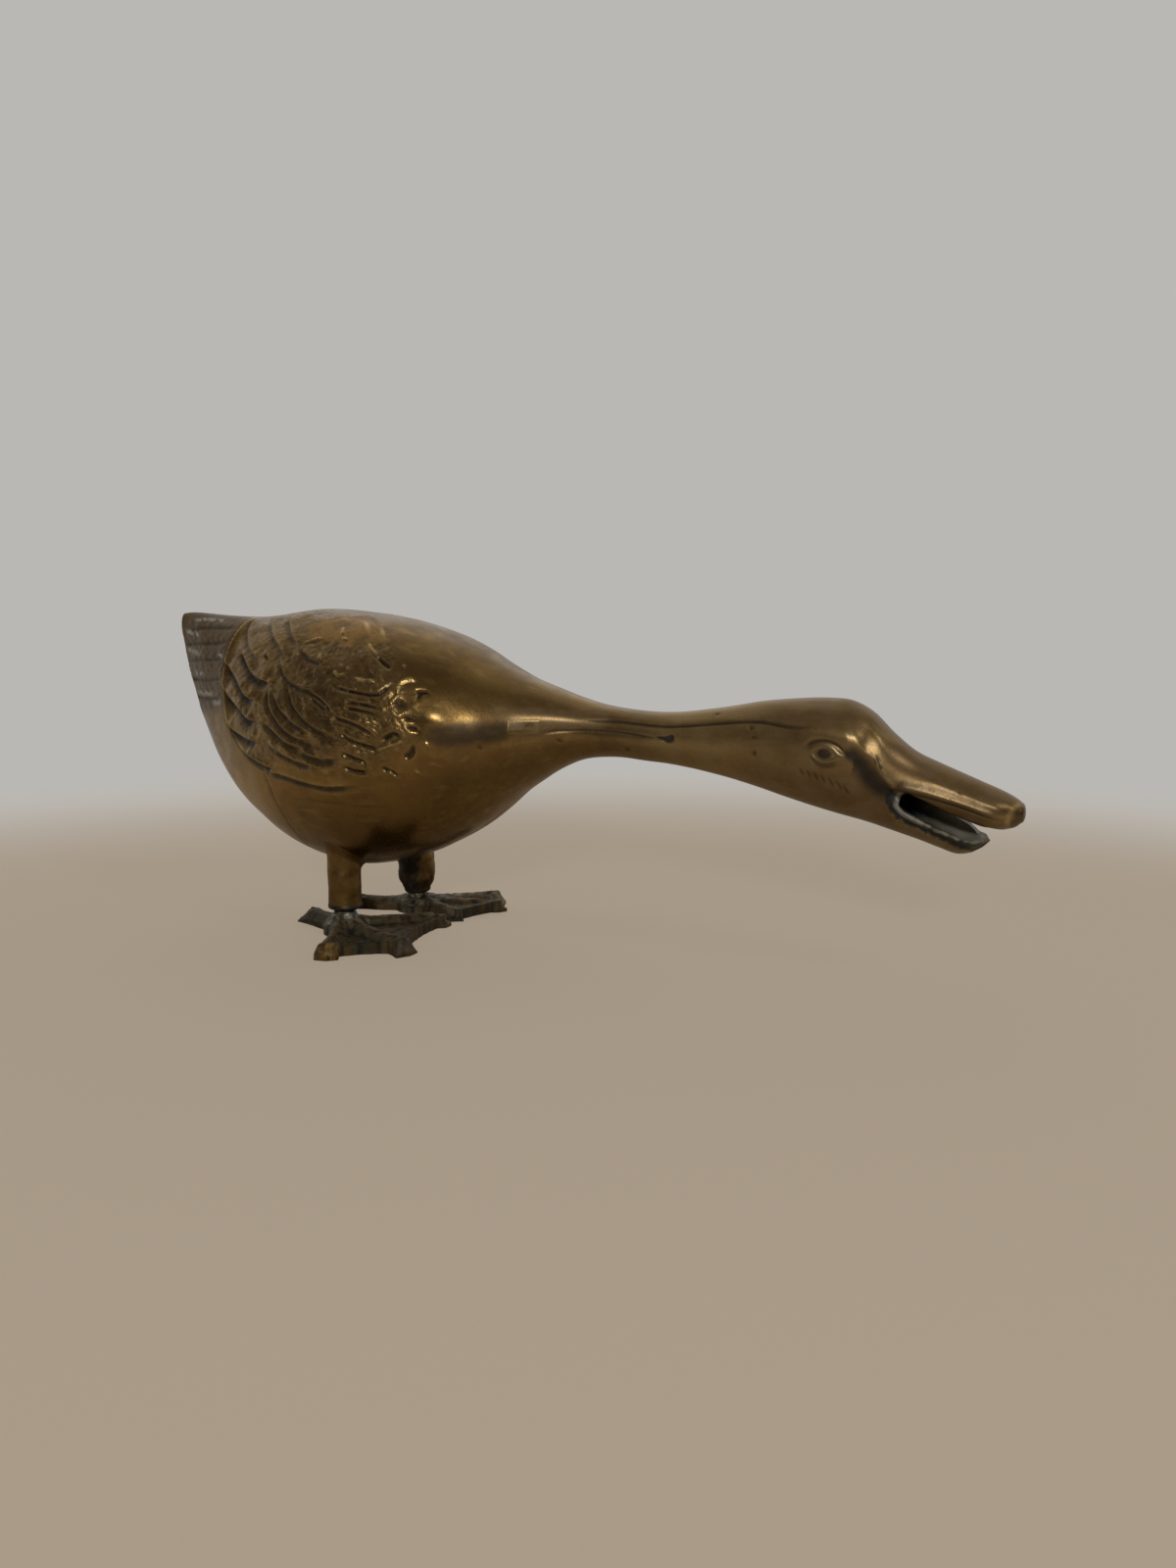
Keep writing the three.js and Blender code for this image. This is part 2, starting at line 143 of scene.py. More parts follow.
def inset_of(outline, x, wall):
    """What a wall, measured square to the outline, takes from it."""
    return wall * np.hypot(1, (outline(x + 0.5) - outline(x - 0.5)))


def half_at(x, wall):
    """Half the width inside a wall, kept clear of the mid-plane."""
    return np.maximum(half_width_at(x) - inset_of(half_width_at, x, wall), 1.2 * HALF_SEAM)


def section(x, turn, wall=0.0):
    """Points of the right side; turn runs from 0 at the top line to pi at the bottom line."""
    top = top_at(x) - inset_of(top_at, x, wall)
    bottom = bottom_at(x) + inset_of(bottom_at, x, wall)
    power = 2 / FULLNESS
    cosine = np.cos(turn)
    y = -half_at(x, wall) * np.abs(np.sin(turn)) ** power
    z = (top + bottom) / 2 + (top - bottom) / 2 * np.sign(cosine) * np.abs(cosine) ** power
    return np.stack(np.broadcast_arrays(x, y, z), -1)


def running(lengths):
    """Running total along the last axis, from zero."""
    total = np.cumsum(lengths, axis=-1)
    return np.concatenate([np.zeros((*total.shape[:-1], 1)), total], axis=-1)


def rings(xs, rows, wall=0.0, crowding=None):
    """Points of the right half on rings at xs, and their girth; crowding is (girth, density) pairs."""
    wall = np.broadcast_to(wall, xs.shape)[:, None]
    start = np.arcsin(np.minimum(1, (HALF_SEAM / half_at(xs, wall[:, 0])) ** (FULLNESS / 2)))[:, None]
    turns = start + (np.pi - 2 * start) * np.linspace(0, 1, 801)
    line = section(xs[:, None], turns, wall)
    run = running(np.linalg.norm(np.diff(line, axis=1), axis=2))
    dense = np.ones(run.shape)
    if crowding:
        dense += (np.interp(run, *np.transpose(crowding)) - 1) * smoothstep(CHANGE_X - 2, 38, xs)[:, None]
    count = running(np.diff(run, axis=1) * (dense[:, 1:] + dense[:, :-1]) / 2)
    share = np.linspace(0, 1, rows + 1)
    even = np.array([np.interp(share * c[-1], c, t) for c, t in zip(count, turns)])
    girth = np.array([np.interp(share * c[-1], c, r) for c, r in zip(count, run)])
    points = section(xs[:, None], even, wall)
    points[:, (0, -1), 1] = -HALF_SEAM
    return points, girth + HALF_SEAM


def columns(start, end, step):
    """Places along the goose, step apart or by (x, step) pairs, and closer where an outline is steep."""
    fine = np.linspace(start, end, 4000)
    steep = np.maximum(
        np.hypot(1, np.gradient(half_width_at(fine), fine)),
        0.6 * np.hypot(1, np.gradient(bottom_at(fine), fine)),
    )
    dense = steep / (np.interp(fine, *np.transpose(step)) if np.ndim(step) else step)
    run = running(np.diff(fine) * (dense[1:] + dense[:-1]) / 2)
    return np.interp(np.linspace(0, run[-1], math.ceil(run[-1]) + 1), run, fine)


def stretches(*rows):
    """Columns of (start, end, step) rows that follow one another."""
    parts = [columns(*row) for row in rows]
    return np.concatenate([*(part[:-1] for part in parts[:-1]), parts[-1]])


# Drawing on the skin
# The wear mask also paints highlights and glints. The recess mask paints shade as well as dark patina. The
# chalk mask also paints glints and light inside the bill.
MASKS = ("recess", "wear", "wing", "tail", "chalk", "copper", "mouth", "pale", "patina")
ALL = slice(None)


def smooth_path(points, steps=6):
    """A smooth line through given points."""
    p = np.array(points, float)
    if len(p) < 3:
        return p
    p = np.vstack([2 * p[0] - p[1], p, 2 * p[-1] - p[-2]])
    t = np.linspace(0, 1, steps, endpoint=False)[:, None]
    runs = []
    for a, b, c, d in zip(p, p[1:], p[2:], p[3:]):
        bend = (2 * a - 5 * b + 4 * c - d) * t**2 + (3 * b - a - 3 * c + d) * t**3
        runs.append(b + 0.5 * ((c - a) * t + bend))
    return np.vstack([*runs, p[-2:-1]])


def project(points, path):
    """Each point against each step of a path: the steps, its offset, its share along and its distance."""
    step = np.diff(path, axis=0)
    offset = points[..., None, :] - path[:-1]
    share = np.clip((offset * step).sum(-1) / (step**2).sum(-1), 0, 1)
    return step, offset, share, np.sqrt(((offset - share[..., None] * step) ** 2).sum(-1))


def near_path(x, v, path, reach):
    """Which points lie near a path: their index, distance, signed side and share along it."""
    low, high = path.min(0) - reach, path.max(0) + reach
    found = np.flatnonzero((x > low[0]) & (x < high[0]) & (v > low[1]) & (v < high[1]))
    step, offset, share, distance = project(np.stack([x[found], v[found]], 1), path)
    rows, best = np.arange(len(found)), distance.argmin(1)
    side = np.sign(step[best, 0] * offset[rows, best, 1] - step[best, 1] * offset[rows, best, 0])
    length = np.hypot(*step.T)
    run = running(length)
    along = (run[best] + share[rows, best] * length[best]) / run[-1]
    distance = distance[rows, best]
    kept = distance < reach
    return found[kept], distance[kept], side[kept], along[kept]


def inside(x, v, outline):
    """Signed distance to a closed outline, positive inside."""
    path = np.array([*outline, outline[0]], float)
    step, _, _, distance = project(np.stack([x, v], -1), path)
    start, end = path[:-1], path[1:]
    crosses = (start[:, 1] > v[..., None]) != (end[:, 1] > v[..., None])
    rise = np.where(step[:, 1] == 0, 1, step[:, 1])
    left_of = x[..., None] < start[:, 0] + (v[..., None] - start[:, 1]) * step[:, 0] / rise
    within = (crosses & left_of).sum(-1) % 2 == 1
    return np.where(within, 1, -1) * distance.min(-1)


class Waves:
    """Smooth seeded noise: a sum of plane waves, about -1 to 1, over points in millimetres."""

    def __init__(self, seed, size, count=28):
        rng = np.random.default_rng(seed)
        way = rng.normal(size=(count, 3))
        way /= np.linalg.norm(way, axis=1)[:, None]
        self.way = way * (2 * np.pi / size * rng.uniform(0.6, 1.6, count))[:, None]
        self.phase = rng.uniform(0, 2 * np.pi, count)

    def __call__(self, points):
        return np.sin(points @ self.way.T + self.phase).sum(-1) / math.sqrt(len(self.phase))


class Skin:
    """Height and paint gathered over the points of one half, by x and girth."""

    def __init__(self, x, v, wobble):
        self.x, self.v = x, v
        self.wobble = wobble
        self.height = np.zeros(x.shape)
        self.masks = {name: np.zeros(x.shape) for name in MASKS}

    def near(self, points, reach):
        """Points near a drawn line: their index, distance, signed side and fade towards its ends."""
        points = np.array(points, float)
        if self.wobble is not None:
            points = points + self.wobble.normal(0, 0.45, points.shape)
        found, distance, side, along = near_path(self.x, self.v, smooth_path(points), reach)
        ends = smoothstep(0, 0.14, along) * smoothstep(0, 0.14, 1 - along)
        return found, distance, side, 0.25 + 0.75 * ends

    def paint(self, name, found, amount):
        mask = self.masks[name]
        mask[found] = np.maximum(mask[found], amount)

    def groove(self, points, width, depth, dark, shine=0.0):
        found, d, _, fade = self.near(points, 3.2 * width)
        cut = fade * bell(d, width)
        self.height[found] -= depth * cut
        # Painted shade in the groove, with dark patina, and a painted highlight on the metal beside it.
        self.paint("recess", found, dark * cut)
        self.paint("wear", found, shine * fade * bell(d - 1.8 * width, 0.7 * width))

    def ridge(self, points, width, rise, shine=0.0):
        found, d, _, fade = self.near(points, 3 * width)
        crest = fade * bell(d, width)
        self.height[found] += rise * crest
        # A painted highlight along the crest.
        self.paint("wear", found, shine * crest)

    def lip(self, points, rise, drop, reach, recover, dark, shine):
        """A feather's edge: the skin rises towards the path on its left and drops away on its right. A
        painted highlight lies on the edge and a painted shadow below it.
        """
        found, d, side, fade = self.near(points, max(reach, 1.6 * recover))
        s = d * side
        over = smoothstep(-0.45, 0.45, s)
        high = rise * np.clip(1 - d / reach, 0, 1) ** 1.4 * (1 - over)
        low = drop * np.clip(1 - d / recover, 0, 1) ** 2 * over
        self.height[found] += fade * (high - low)
        self.paint("recess", found, dark * fade * bell(s - 0.26 * recover, 0.3 * recover))
        self.paint("wear", found, shine * fade * bell(s + 0.6, 0.6))

    def mound(self, x, v, across, down, rise, turn=0.0, shine=0.0, dark=0.0):
        c, s = heading(turn)
        dx, dv = self.x - x, self.v - v
        shape = bell(dx * c + dv * s, across) * bell(dv * c - dx * s, down)
        self.height += rise * shape
        # shine paints a highlight over the mound, and dark paints shade with dark patina.
        self.paint("wear", ALL, shine * shape)
        self.paint("recess", ALL, dark * shape)

    def stain(self, name, points, width, amount=1.0):
        found, d, _, fade = self.near(points, 2.5 * width)
        self.paint(name, found, amount * fade * bell(d, width, 4))


# Lines and patches drawn on the flattened skin, as (x, girth)
WING_EDGE = ((-48.5, 1), (-49.5, 10), (-52, 21), (-52.5, 30), (-51, 38), (-48.5, 46), (-44, 52.5),
             (-39, 58.5), (-33, 64), (-26, 69.5))
WING_BELOW = ((-26, 69.5), (-18, 72), (-9, 74.5), (2, 75.8), (13, 74))
WING_FRONT = ((21, 70), (29, 63), (35, 54), (37, 45), (35, 36), (30, 29), (24, 22), (18, 15), (12, 8),
              (4, 3), (-20, 2))
PRIMARIES = (
    ((-43, 22), (-38, 28), (-34, 33), (-29, 37), (-24, 39.5)),
    ((-50, 25), (-46, 29), (-41, 34), (-36, 40), (-31, 43.5)),
    ((-50, 34), (-46, 38), (-40, 43), (-35, 48), (-30, 51)),
    ((-48, 46), (-43, 50), (-37, 54), (-30, 58)),
    ((-37, 59), (-33, 62.5), (-28, 66), (-23, 69)),
)
UPPER_COVERTS = (
    ((-45.5, 3), (-45.5, 10), (-42, 18), (-36, 25), (-30, 30)),
    ((-38, 4), (-35, 11), (-29, 20), (-22, 28), (-17, 33)),
    ((-30, 5), (-26, 13), (-20, 22), (-14, 29)),
)
COVERTS = (
    ((-24, 40), (-23, 47), (-18, 54), (-11, 59), (-3, 61)),
    ((-21, 44), (-17, 50), (-11, 54.5), (-5, 57)),
    ((-14, 43), (-11, 49), (-6, 53.5), (0, 56.5), (5, 58)),
    ((-25, 52.5), (-19, 57.5), (-13, 61.5), (-7, 63.3)),
    ((-24, 60), (-17, 64.5), (-10, 67.5), (-2, 69)),
    ((-8, 64), (0, 66.3), (7, 66)),
    ((-20, 33), (-16, 39), (-9, 43), (-2, 44)),
    ((-12, 30), (-7, 33), (-2, 34.5)),
)
# Feather edges: their lines, rise, drop, reach of each, darkness of the painted shadow below the edge and
# shine of the painted highlight on it
FEATHERS = (
    ((WING_EDGE,), 1.1, 0.6, 5.0, 3.0, 0.7, 0.8),
    ((WING_BELOW,), 0.5, 0.7, 4.0, 3.2, 0.9, 0.3),
    (PRIMARIES, 1.2, 1.4, 6.5, 4.5, 1.0, 0.3),
    (UPPER_COVERTS, 0.55, 0.65, 4.0, 3.0, 0.6, 0.2),
    (COVERTS, 0.55, 0.65, 4.0, 3.0, 0.85, 0.2),
)
BARS = (
    ((5, 42.5), (13, 43), (21, 41.5), (25, 36.5)),
    ((-6, 44.5), (-1, 46.5), (3, 49), (5, 51)),
    ((-4, 46.5), (0, 48.8), (3, 50.5)),
    ((10, 46.8), (16, 46.2), (22.5, 45.6)),
    ((10.5, 48.6), (16, 48.2), (21.5, 47.8)),
    ((6, 51), (8, 52.5), (14, 53.2), (20.5, 54.5)),
    ((9.5, 57.2), (14, 58.8), (22, 59)),
    ((10, 63.5), (14, 64.2), (17.3, 64.2), (17.6, 66)),
    ((10, 68), (14, 68.4), (18, 67.6)),
    ((24, 55), (27, 52), (29.5, 51)),
    ((31, 57.5), (33, 55), (34, 52.5)),
    ((30.8, 45), (33.6, 43.9)),
    ((32.2, 47.4), (35, 46.2)),
    ((33, 35.4), (34.8, 34.2), (36.6, 33.4)),
    ((34.7, 34.3), (34, 37)),
    ((23.5, 64.6), (26, 64.2), (28, 64.8)),
    ((17.4, 29.2), (20, 30.4), (23, 31.4)),
    ((-28.8, 28.4), (-27, 30.8)),
)
SMALL_RIDGES = (
    ((22, 59), (26, 56), (30.5, 52.5)),
    ((27.3, 39), (27.2, 35.5), (29, 33), (32, 31.3)),
    ((25.8, 43), (27, 40.5), (28.3, 38.5)),
    ((26.3, 44.2), (28.6, 45.3), (30.8, 43)),
    ((4, 37.2), (6, 38.4), (8.3, 38)),
    ((12, 38.6), (15.5, 38.4), (19.5, 37.6)),
    ((-12, 26.5), (-9, 25.6), (-6, 24.8)),
    ((2, 24), (4, 25)),
    ((12.5, 25), (14.5, 27), (17, 28.5)),
    ((-0.4, 19.4), (1.2, 22.6)),
    ((-3.8, 31.4), (-2.6, 33.4)),
)
# Small beads, each with a painted glint: x, girth and size
BEADS = (
    (6.2, 52.7, 0.8), (34.5, 60.3, 0.6), (38, 49.1, 0.6), (27, 28.8, 0.55), (9, 35.8, 0.7),
    (-8.4, 28, 0.6), (21.5, 36.4, 0.6), (15.6, 61.4, 0.6), (6.4, 35, 0.6), (18.6, 51, 0.6),
)
# Mounds and dents: x, girth, half sizes along and across, rise, turn, shine of a painted highlight and
# darkness of painted shade with dark patina; the last one only paints a highlight over the rump
BODY_MOUNDS = (
    *((x, v, size, 0.8 * size, 0.3, 0, 0.9) for x, v, size in BEADS),
    (28.6, 41.6, 1.7, 1.5, -1.0, 0, 0, 0.9),
    (26, 64.4, 1.1, 0.8, 0.5, 0, 0.9),
    (-24, 39.5, 1.6, 1.2, 0.5, 0, 0.5),
    (7.5, 17, 3.2, 0.7, 0.3, 52, 0.9),
    (14, 18, 3.0, 0.7, 0.3, 55, 0.9),
    (-40, 76, 12, 16, 0.0, -35, 0.4),
)
SIDE_RIDGE = ((56, 26.2), (63, 21.2), (70, 16.6), (80, 12), (92, 7.6), (110, 7.2), (125, 8),
              (139, 10), (150, 12.8), (157, 13.6))
SIDE_GROOVE = ((62, 26), (70, 20), (80, 15.2), (90, 12.2), (98, 11.6), (107, 11.9))
LOWER_CREASE = ((69.6, 22.4), (75.4, 17.9), (84.5, 13.7), (92, 12), (98, 11.5), (107.5, 11.8))
NECK_PIT = ((106.4, 11.9), (109.5, 11.2), (112.4, 11), (112.6, 12.9), (110.4, 13.3))
PINHOLES = ((137.7, 12.7), (126, 5.5), (75.5, 21.3), (138.6, 15.4), (139, 20.5), (97, 17), (53, 38))
SHOULDER_PATCH = ((36.5, 47), (38, 43.5), (41, 40), (46, 35), (50, 31.8), (55, 28), (61, 23.6), (61, 29.8),
                  (55.5, 35.8), (50.2, 40.4), (46, 44.2), (41, 48), (38, 48.6))
UPPER_CREASE = ((84, 10.6), (92, 8.6), (100, 8.1), (115, 8.5), (128, 9.4), (140, 11.2), (150, 13.9),
                (157.5, 14.4))
FLANK_CREASE = ((-29, 66.5), (-26.5, 73), (-24, 81), (-21, 90), (-18.5, 99), (-18, 105))
BELLY_LINE = ((-15, 80.5), (0, 81.3), (12, 81), (23, 78.5))
COPPER_PATCH = ((-14, 17), (-6, 13), (3, 11), (11, 14), (18, 20), (15, 27), (4, 27), (-8, 26.5), (-12.5, 24))
TAIL_MARKS = (
    ((-75, 4.5), (-67, 4.6), (-58, 6)),
    ((-80, 7.4), (-75, 9.4), (-70, 11)),
    ((-79, 14), (-74, 16.4), (-68.5, 17.8)),
    ((-76, 22.2), (-71, 24.6), (-65.5, 25.6)),
    ((-59, 19.8), (-56, 20.4), (-53.5, 21)),
    ((-73, 31.4), (-65, 32.6), (-57, 34)),
    ((-60, 36.6), (-57, 37.4), (-54, 37.2)),
)
TAIL_GROOVES = (
    ((-80, 8), (-66, 8.6), (-51, 10)),
    ((-79.5, 13), (-66, 14.6), (-52, 16)),
    ((-79, 19), (-66, 20.4), (-53.5, 22)),
    ((-78, 26), (-66, 27.8), (-54, 29)),
    ((-75, 33), (-65, 34.6), (-55, 35.5)),
)


def carve_body(skin, points, seed):
    """The wing, the tail and the creases of one side."""
    fine, middle, coarse = (Waves(seed + n, size)(points) for n, size in enumerate((1.5, 3.6, 9.0)))
    rough = 0.6 * fine + 0.7 * middle
    wing = inside(skin.x, skin.v, (*WING_EDGE, *WING_BELOW[1:], *WING_FRONT))
    patch = smoothstep(-0.8, 1.2, inside(skin.x, skin.v, COPPER_PATCH) + 0.4 * middle)
    texture = smoothstep(-1.0, 9.0, wing) * (1 - 0.8 * patch) * smoothstep(1, 7, skin.v)
    skin.height += 0.7 * smoothstep(0, 14, wing) + texture * (0.07 * rough + 0.2 * coarse)
    back = smoothstep(16, 3, skin.v) * smoothstep(-35, -15, skin.x) * smoothstep(80, 50, skin.x)
    hollows = smoothstep(0.0, -1.4, rough + 0.5 * coarse)
    crests = smoothstep(0.8, 1.8, rough + 0.4 * coarse)
    glints = smoothstep(1.55, 2.1, Waves(seed + 3, 1.4)(points))
    # Painted darker along the top of the back and in the texture's hollows, and lighter on its crests as wear
    # and painted sheen. The glints are painted highlights in chalk white.
    skin.masks.update(
        wing=texture,
        patina=0.45 * texture,
        recess=0.32 * back + 0.25 * texture * hollows,
        wear=0.45 * texture * crests,
        chalk=0.7 * texture * glints,
        copper=0.75 * patch * smoothstep(-1.8, 0.8, coarse + rough),
    )
    for paths, *relief in FEATHERS:
        for path in paths:
            skin.lip(path, *relief)
    for path in BARS:
        skin.groove(path, 0.55, 0.8, dark=1.0, shine=0.25)
    for path in SMALL_RIDGES:
        skin.ridge(path, 0.45, 0.5, shine=0.9)
    for mound in BODY_MOUNDS:
        skin.mound(*mound)
    skin.lip(FLANK_CREASE, 0.5, 0.35, 9.0, 3.0, dark=0.45, shine=0.15)
    skin.groove(BELLY_LINE, 0.45, 0.12, dark=0.4)
    tail = smoothstep(-0.5, 1.5, -wing) * smoothstep(-49, -53, skin.x) * smoothstep(43, 37, skin.v)
    skin.masks["tail"] = tail
    skin.height += tail * 0.1 * rough
    for path in TAIL_GROOVES:
        skin.groove(path, 0.7, 0.3, dark=0.6)
    for path in TAIL_MARKS:
        skin.stain("chalk", path, 0.8)
    skin.masks["chalk"] *= smoothstep(-0.5, 0.7, rough)


def carve_neck(skin, points, dark_reflection):
    """The long side ridge with its two creases, the shoulder's painted dark reflection and the casting's
    pits.
    """
    ragged = Waves(46, 3.0)(points)
    skin.ridge(SIDE_RIDGE, 1.9, 0.16, shine=0.05)
    skin.groove(SIDE_GROOVE, 2.6, 0.25, dark=0.2)
    skin.groove(UPPER_CREASE, 0.5, 0.3, dark=0.95)
    skin.groove(LOWER_CREASE, 0.48, 0.12, dark=0.85)
    # The shoulder's mound, with a painted highlight.
    skin.mound(39.5, 39.6, 5.0, 2.8, 0.45, -38, shine=0.15)
    patch = smoothstep(-0.6, 1.8, inside(skin.x, skin.v, SHOULDER_PATCH) + 0.15 * ragged)
    # The dark band below the shoulder is a painted dark reflection.
    skin.paint("recess", ALL, dark_reflection * patch)
    skin.stain("patina", SIDE_RIDGE[:5], 3.0, 2.0)
    pit = smoothstep(-0.3, 0.4, inside(skin.x, skin.v, NECK_PIT) + 0.25 * ragged)
    skin.height -= 0.45 * pit
    skin.paint("recess", ALL, 0.7 * pit)
    skin.paint("mouth", ALL, 0.8 * pit)
    skin.paint("wear", ALL, 0.2 * smoothstep(96, 112, skin.x) * smoothstep(150, 132, skin.x))
    for x, v in PINHOLES:
        skin.mound(x, v, 0.6, 0.55, -0.35, dark=0.9)


# The open bill, seen from the side as (x, height)
LIP_LINE = ((179, 63), (186.5, 61.8), (194, 60.2), (201.8, 58.1), (210, 55.3), (216, 54.6))
MOUTH = ((182, 57.3), (182.8, 60), (184.6, 61.1), (188, 59.7), (192.3, 57.6), (198, 54.9), (202.8, 53),
         (206.6, 51.7), (210.6, 51), (214, 49.2), (219, 46.2), (214, 42), (210, 44.2), (207.6, 47.2),
         (204.5, 47.3), (201.2, 47.5), (197.6, 48.9), (194.4, 50.2), (191, 51.6), (187.6, 53.2),
         (183.8, 55.2))
RIM_EDGE = ((181.5, 63), (179.3, 61), (178.6, 58.4), (179.9, 55.2), (184.4, 52), (190.9, 49.2), (195, 47.2),
            (199.4, 45.5), (203.7, 44), (207, 43.5))
# On the left the lower mandible stands higher, so only the front of the mouth can be seen through.
LEFT_MOUTH = ((183.6, 59.2), (184.2, 60.6), (185.6, 60.9), *MOUTH[3:14], (204.5, 48), (201.2, 50.5),
              (197.6, 52.3), (194.4, 53.9), (191, 55.4), (187.6, 57), (184.8, 58.3))
LEFT_RIM_EDGE = ((183, 62.4), (181, 60.8), (180.8, 58.6), (182.6, 56.4), (187, 54), (191, 52.3), (195, 50.6),
                 (199.4, 48.6), (203.7, 45.6), (207, 43.5))
MOUTH_PATHS = {
    side: smooth_path([*outline, outline[0]])[:-1] for side, outline in ((RIGHT, MOUTH), (LEFT, LEFT_MOUTH))
}
RIM_PATHS = {RIGHT: smooth_path(RIM_EDGE), LEFT: smooth_path(LEFT_RIM_EDGE)}
MOUTH_REGION_X, FAR_FROM_MOUTH = 172.0, -50.0


def mouth_distance(x, z, side):
    """Distance into the open bill seen from the side, negative on the metal."""
    distance = np.full(len(x), FAR_FROM_MOUTH)
    near = np.flatnonzero(x > MOUTH_REGION_X)
    distance[near] = inside(x[near], z[near], MOUTH_PATHS[side])
    return distance


# The face and the bill's ridges, drawn on the flattened skin
LORES = ((167.4, 20.8), (169.6, 20.4), (171.6, 21.6), (173.2, 22.8), (176, 22.6), (179.6, 21.2))
LORES_WIDTHS = ((0, 0.3, 0.5, 0.75, 1), (1.4, 4.2, 5.2, 4.0, 2.0))
UPPER_LID = ((156.2, 21.5), (158, 20.1), (160.6, 19.6), (163, 20.4), (164.8, 21.8), (167, 21.7))
LOWER_LID = ((156.2, 21.5), (157.4, 23.2), (159.6, 24.3), (162, 24.2), (164, 23.2), (165, 21.9))
LID_FOLD = ((154.8, 20), (157, 18.6), (160.4, 18), (163.6, 18.8), (166.6, 20.4))
BROW_RIDGE = ((154.5, 15.4), (159, 15.6), (164, 16), (168.5, 15.4))
BROW_GROOVE = ((171.8, 17), (172.2, 13.5), (173, 9), (174.6, 5))
BILL_ROOT = ((174.9, 15.6), (176.4, 18), (178.4, 19), (181, 19.2))
BILL_RIDGE = ((190, 10.4), (197, 9.6), (204, 9.2), (212, 9))
NAIL_EDGE = ((212.7, 13.4), (213.2, 9.5), (214.1, 6.9), (215.3, 4.1), (216, 2))
CHEEK_TICKS = (
    ((153.2, 26.8), (154.3, 28.8)), ((155.4, 27.4), (156.5, 29.6)), ((157.5, 28), (158.7, 30.4)),
    ((159.8, 28.8), (160.9, 31)), ((161.9, 29.2), (163.3, 32)), ((164.2, 29.8), (165.7, 32.2)),
    ((166.4, 30.6), (168, 32.8)),
)
# Mounds and dents of the face, as in BODY_MOUNDS; the brow bumps and the eye's corner carry painted
# highlights.
HEAD_MOUNDS = (
    (160.6, 21.8, 4.6, 3.0, -0.4),
    (160.6, 22, 2.3, 1.7, 0.5),
    (163.3, 22.4, 0.4, 0.4, 0.1, 0, 0.4),
    (169.4, 15, 3.2, 2.8, 0.45, 0, 0.3),
    (175.4, 10, 3.6, 3.8, 0.55, -30, 0.35),
    *((x, v, 0.55, 0.55, -0.2, 0, 0, 0.6) for x, v in ((176, 15.6), (176.8, 16.8), (175.2, 17))),
    (199, 9.4, 0.5, 0.45, -0.1, 0, 0, 0.8),
    (196, 12.6, 0.5, 0.45, -0.08, 0, 0, 0.5),
)
# Along the bill, the height between its two mandibles
BILL_FLOOR = ((180, 192, 203, 211, 217), (60, 55, 50, 48, 50))


def carve_face(skin):
    """Eye, brow, cheek and the ridges of the bill."""
    for mound in HEAD_MOUNDS:
        skin.mound(*mound)
    skin.groove(LID_FOLD, 0.5, 0.3, dark=0.95)
    for path in (UPPER_LID, LOWER_LID):
        skin.ridge(path, 0.4, 0.24)
        skin.stain("pale", path, 0.4, 0.45)
    skin.groove([(x, v + 1.1) for x, v in LOWER_LID[:-1]], 0.5, 0.2, dark=0.5)
    pupil = np.hypot((skin.x - 160.5) / 2.3, (skin.v - 22) / 1.6)
    skin.paint("recess", ALL, 0.85 * smoothstep(1.1, 0.75, pupil))
    eye = bell(skin.x - 161.5, 6.5, 4) * bell(skin.v - 21.5, 4.5, 4)
    skin.paint("patina", ALL, 1.7 * eye)
    skin.ridge(BROW_RIDGE, 2.6, 0.35, shine=0.1)
    skin.groove(BROW_GROOVE, 1.8, 0.25, dark=0.2)
    # The lores' hollow, painted dark as painted shade.
    found, distance, _, along = near_path(skin.x, skin.v, smooth_path(LORES), 8.0)
    lores = bell(distance, np.interp(along, *LORES_WIDTHS), 3)
    skin.height[found] -= 0.55 * lores * smoothstep(0.0, 0.35, along)
    skin.paint("recess", found, 0.95 * lores)
    skin.ridge(BILL_ROOT, 1.1, 0.2)
    for tick in CHEEK_TICKS:
        skin.groove(tick, 0.5, 0.22, dark=0.5)
    skin.ridge(BILL_RIDGE, 1.3, 0.22, shine=0.15)
    # The nail's edge with a painted highlight; the nail's front is painted darker.
    skin.lip(NAIL_EDGE, 0.08, 0.05, 2.4, 2.2, dark=0.25, shine=0.8)
    ahead = smoothstep(0.2, 0.8, skin.x - np.interp(skin.v, *np.array(NAIL_EDGE[::-1]).T[::-1]))
    skin.paint("recess", ALL, 0.5 * ahead * smoothstep(16, 13, skin.v))


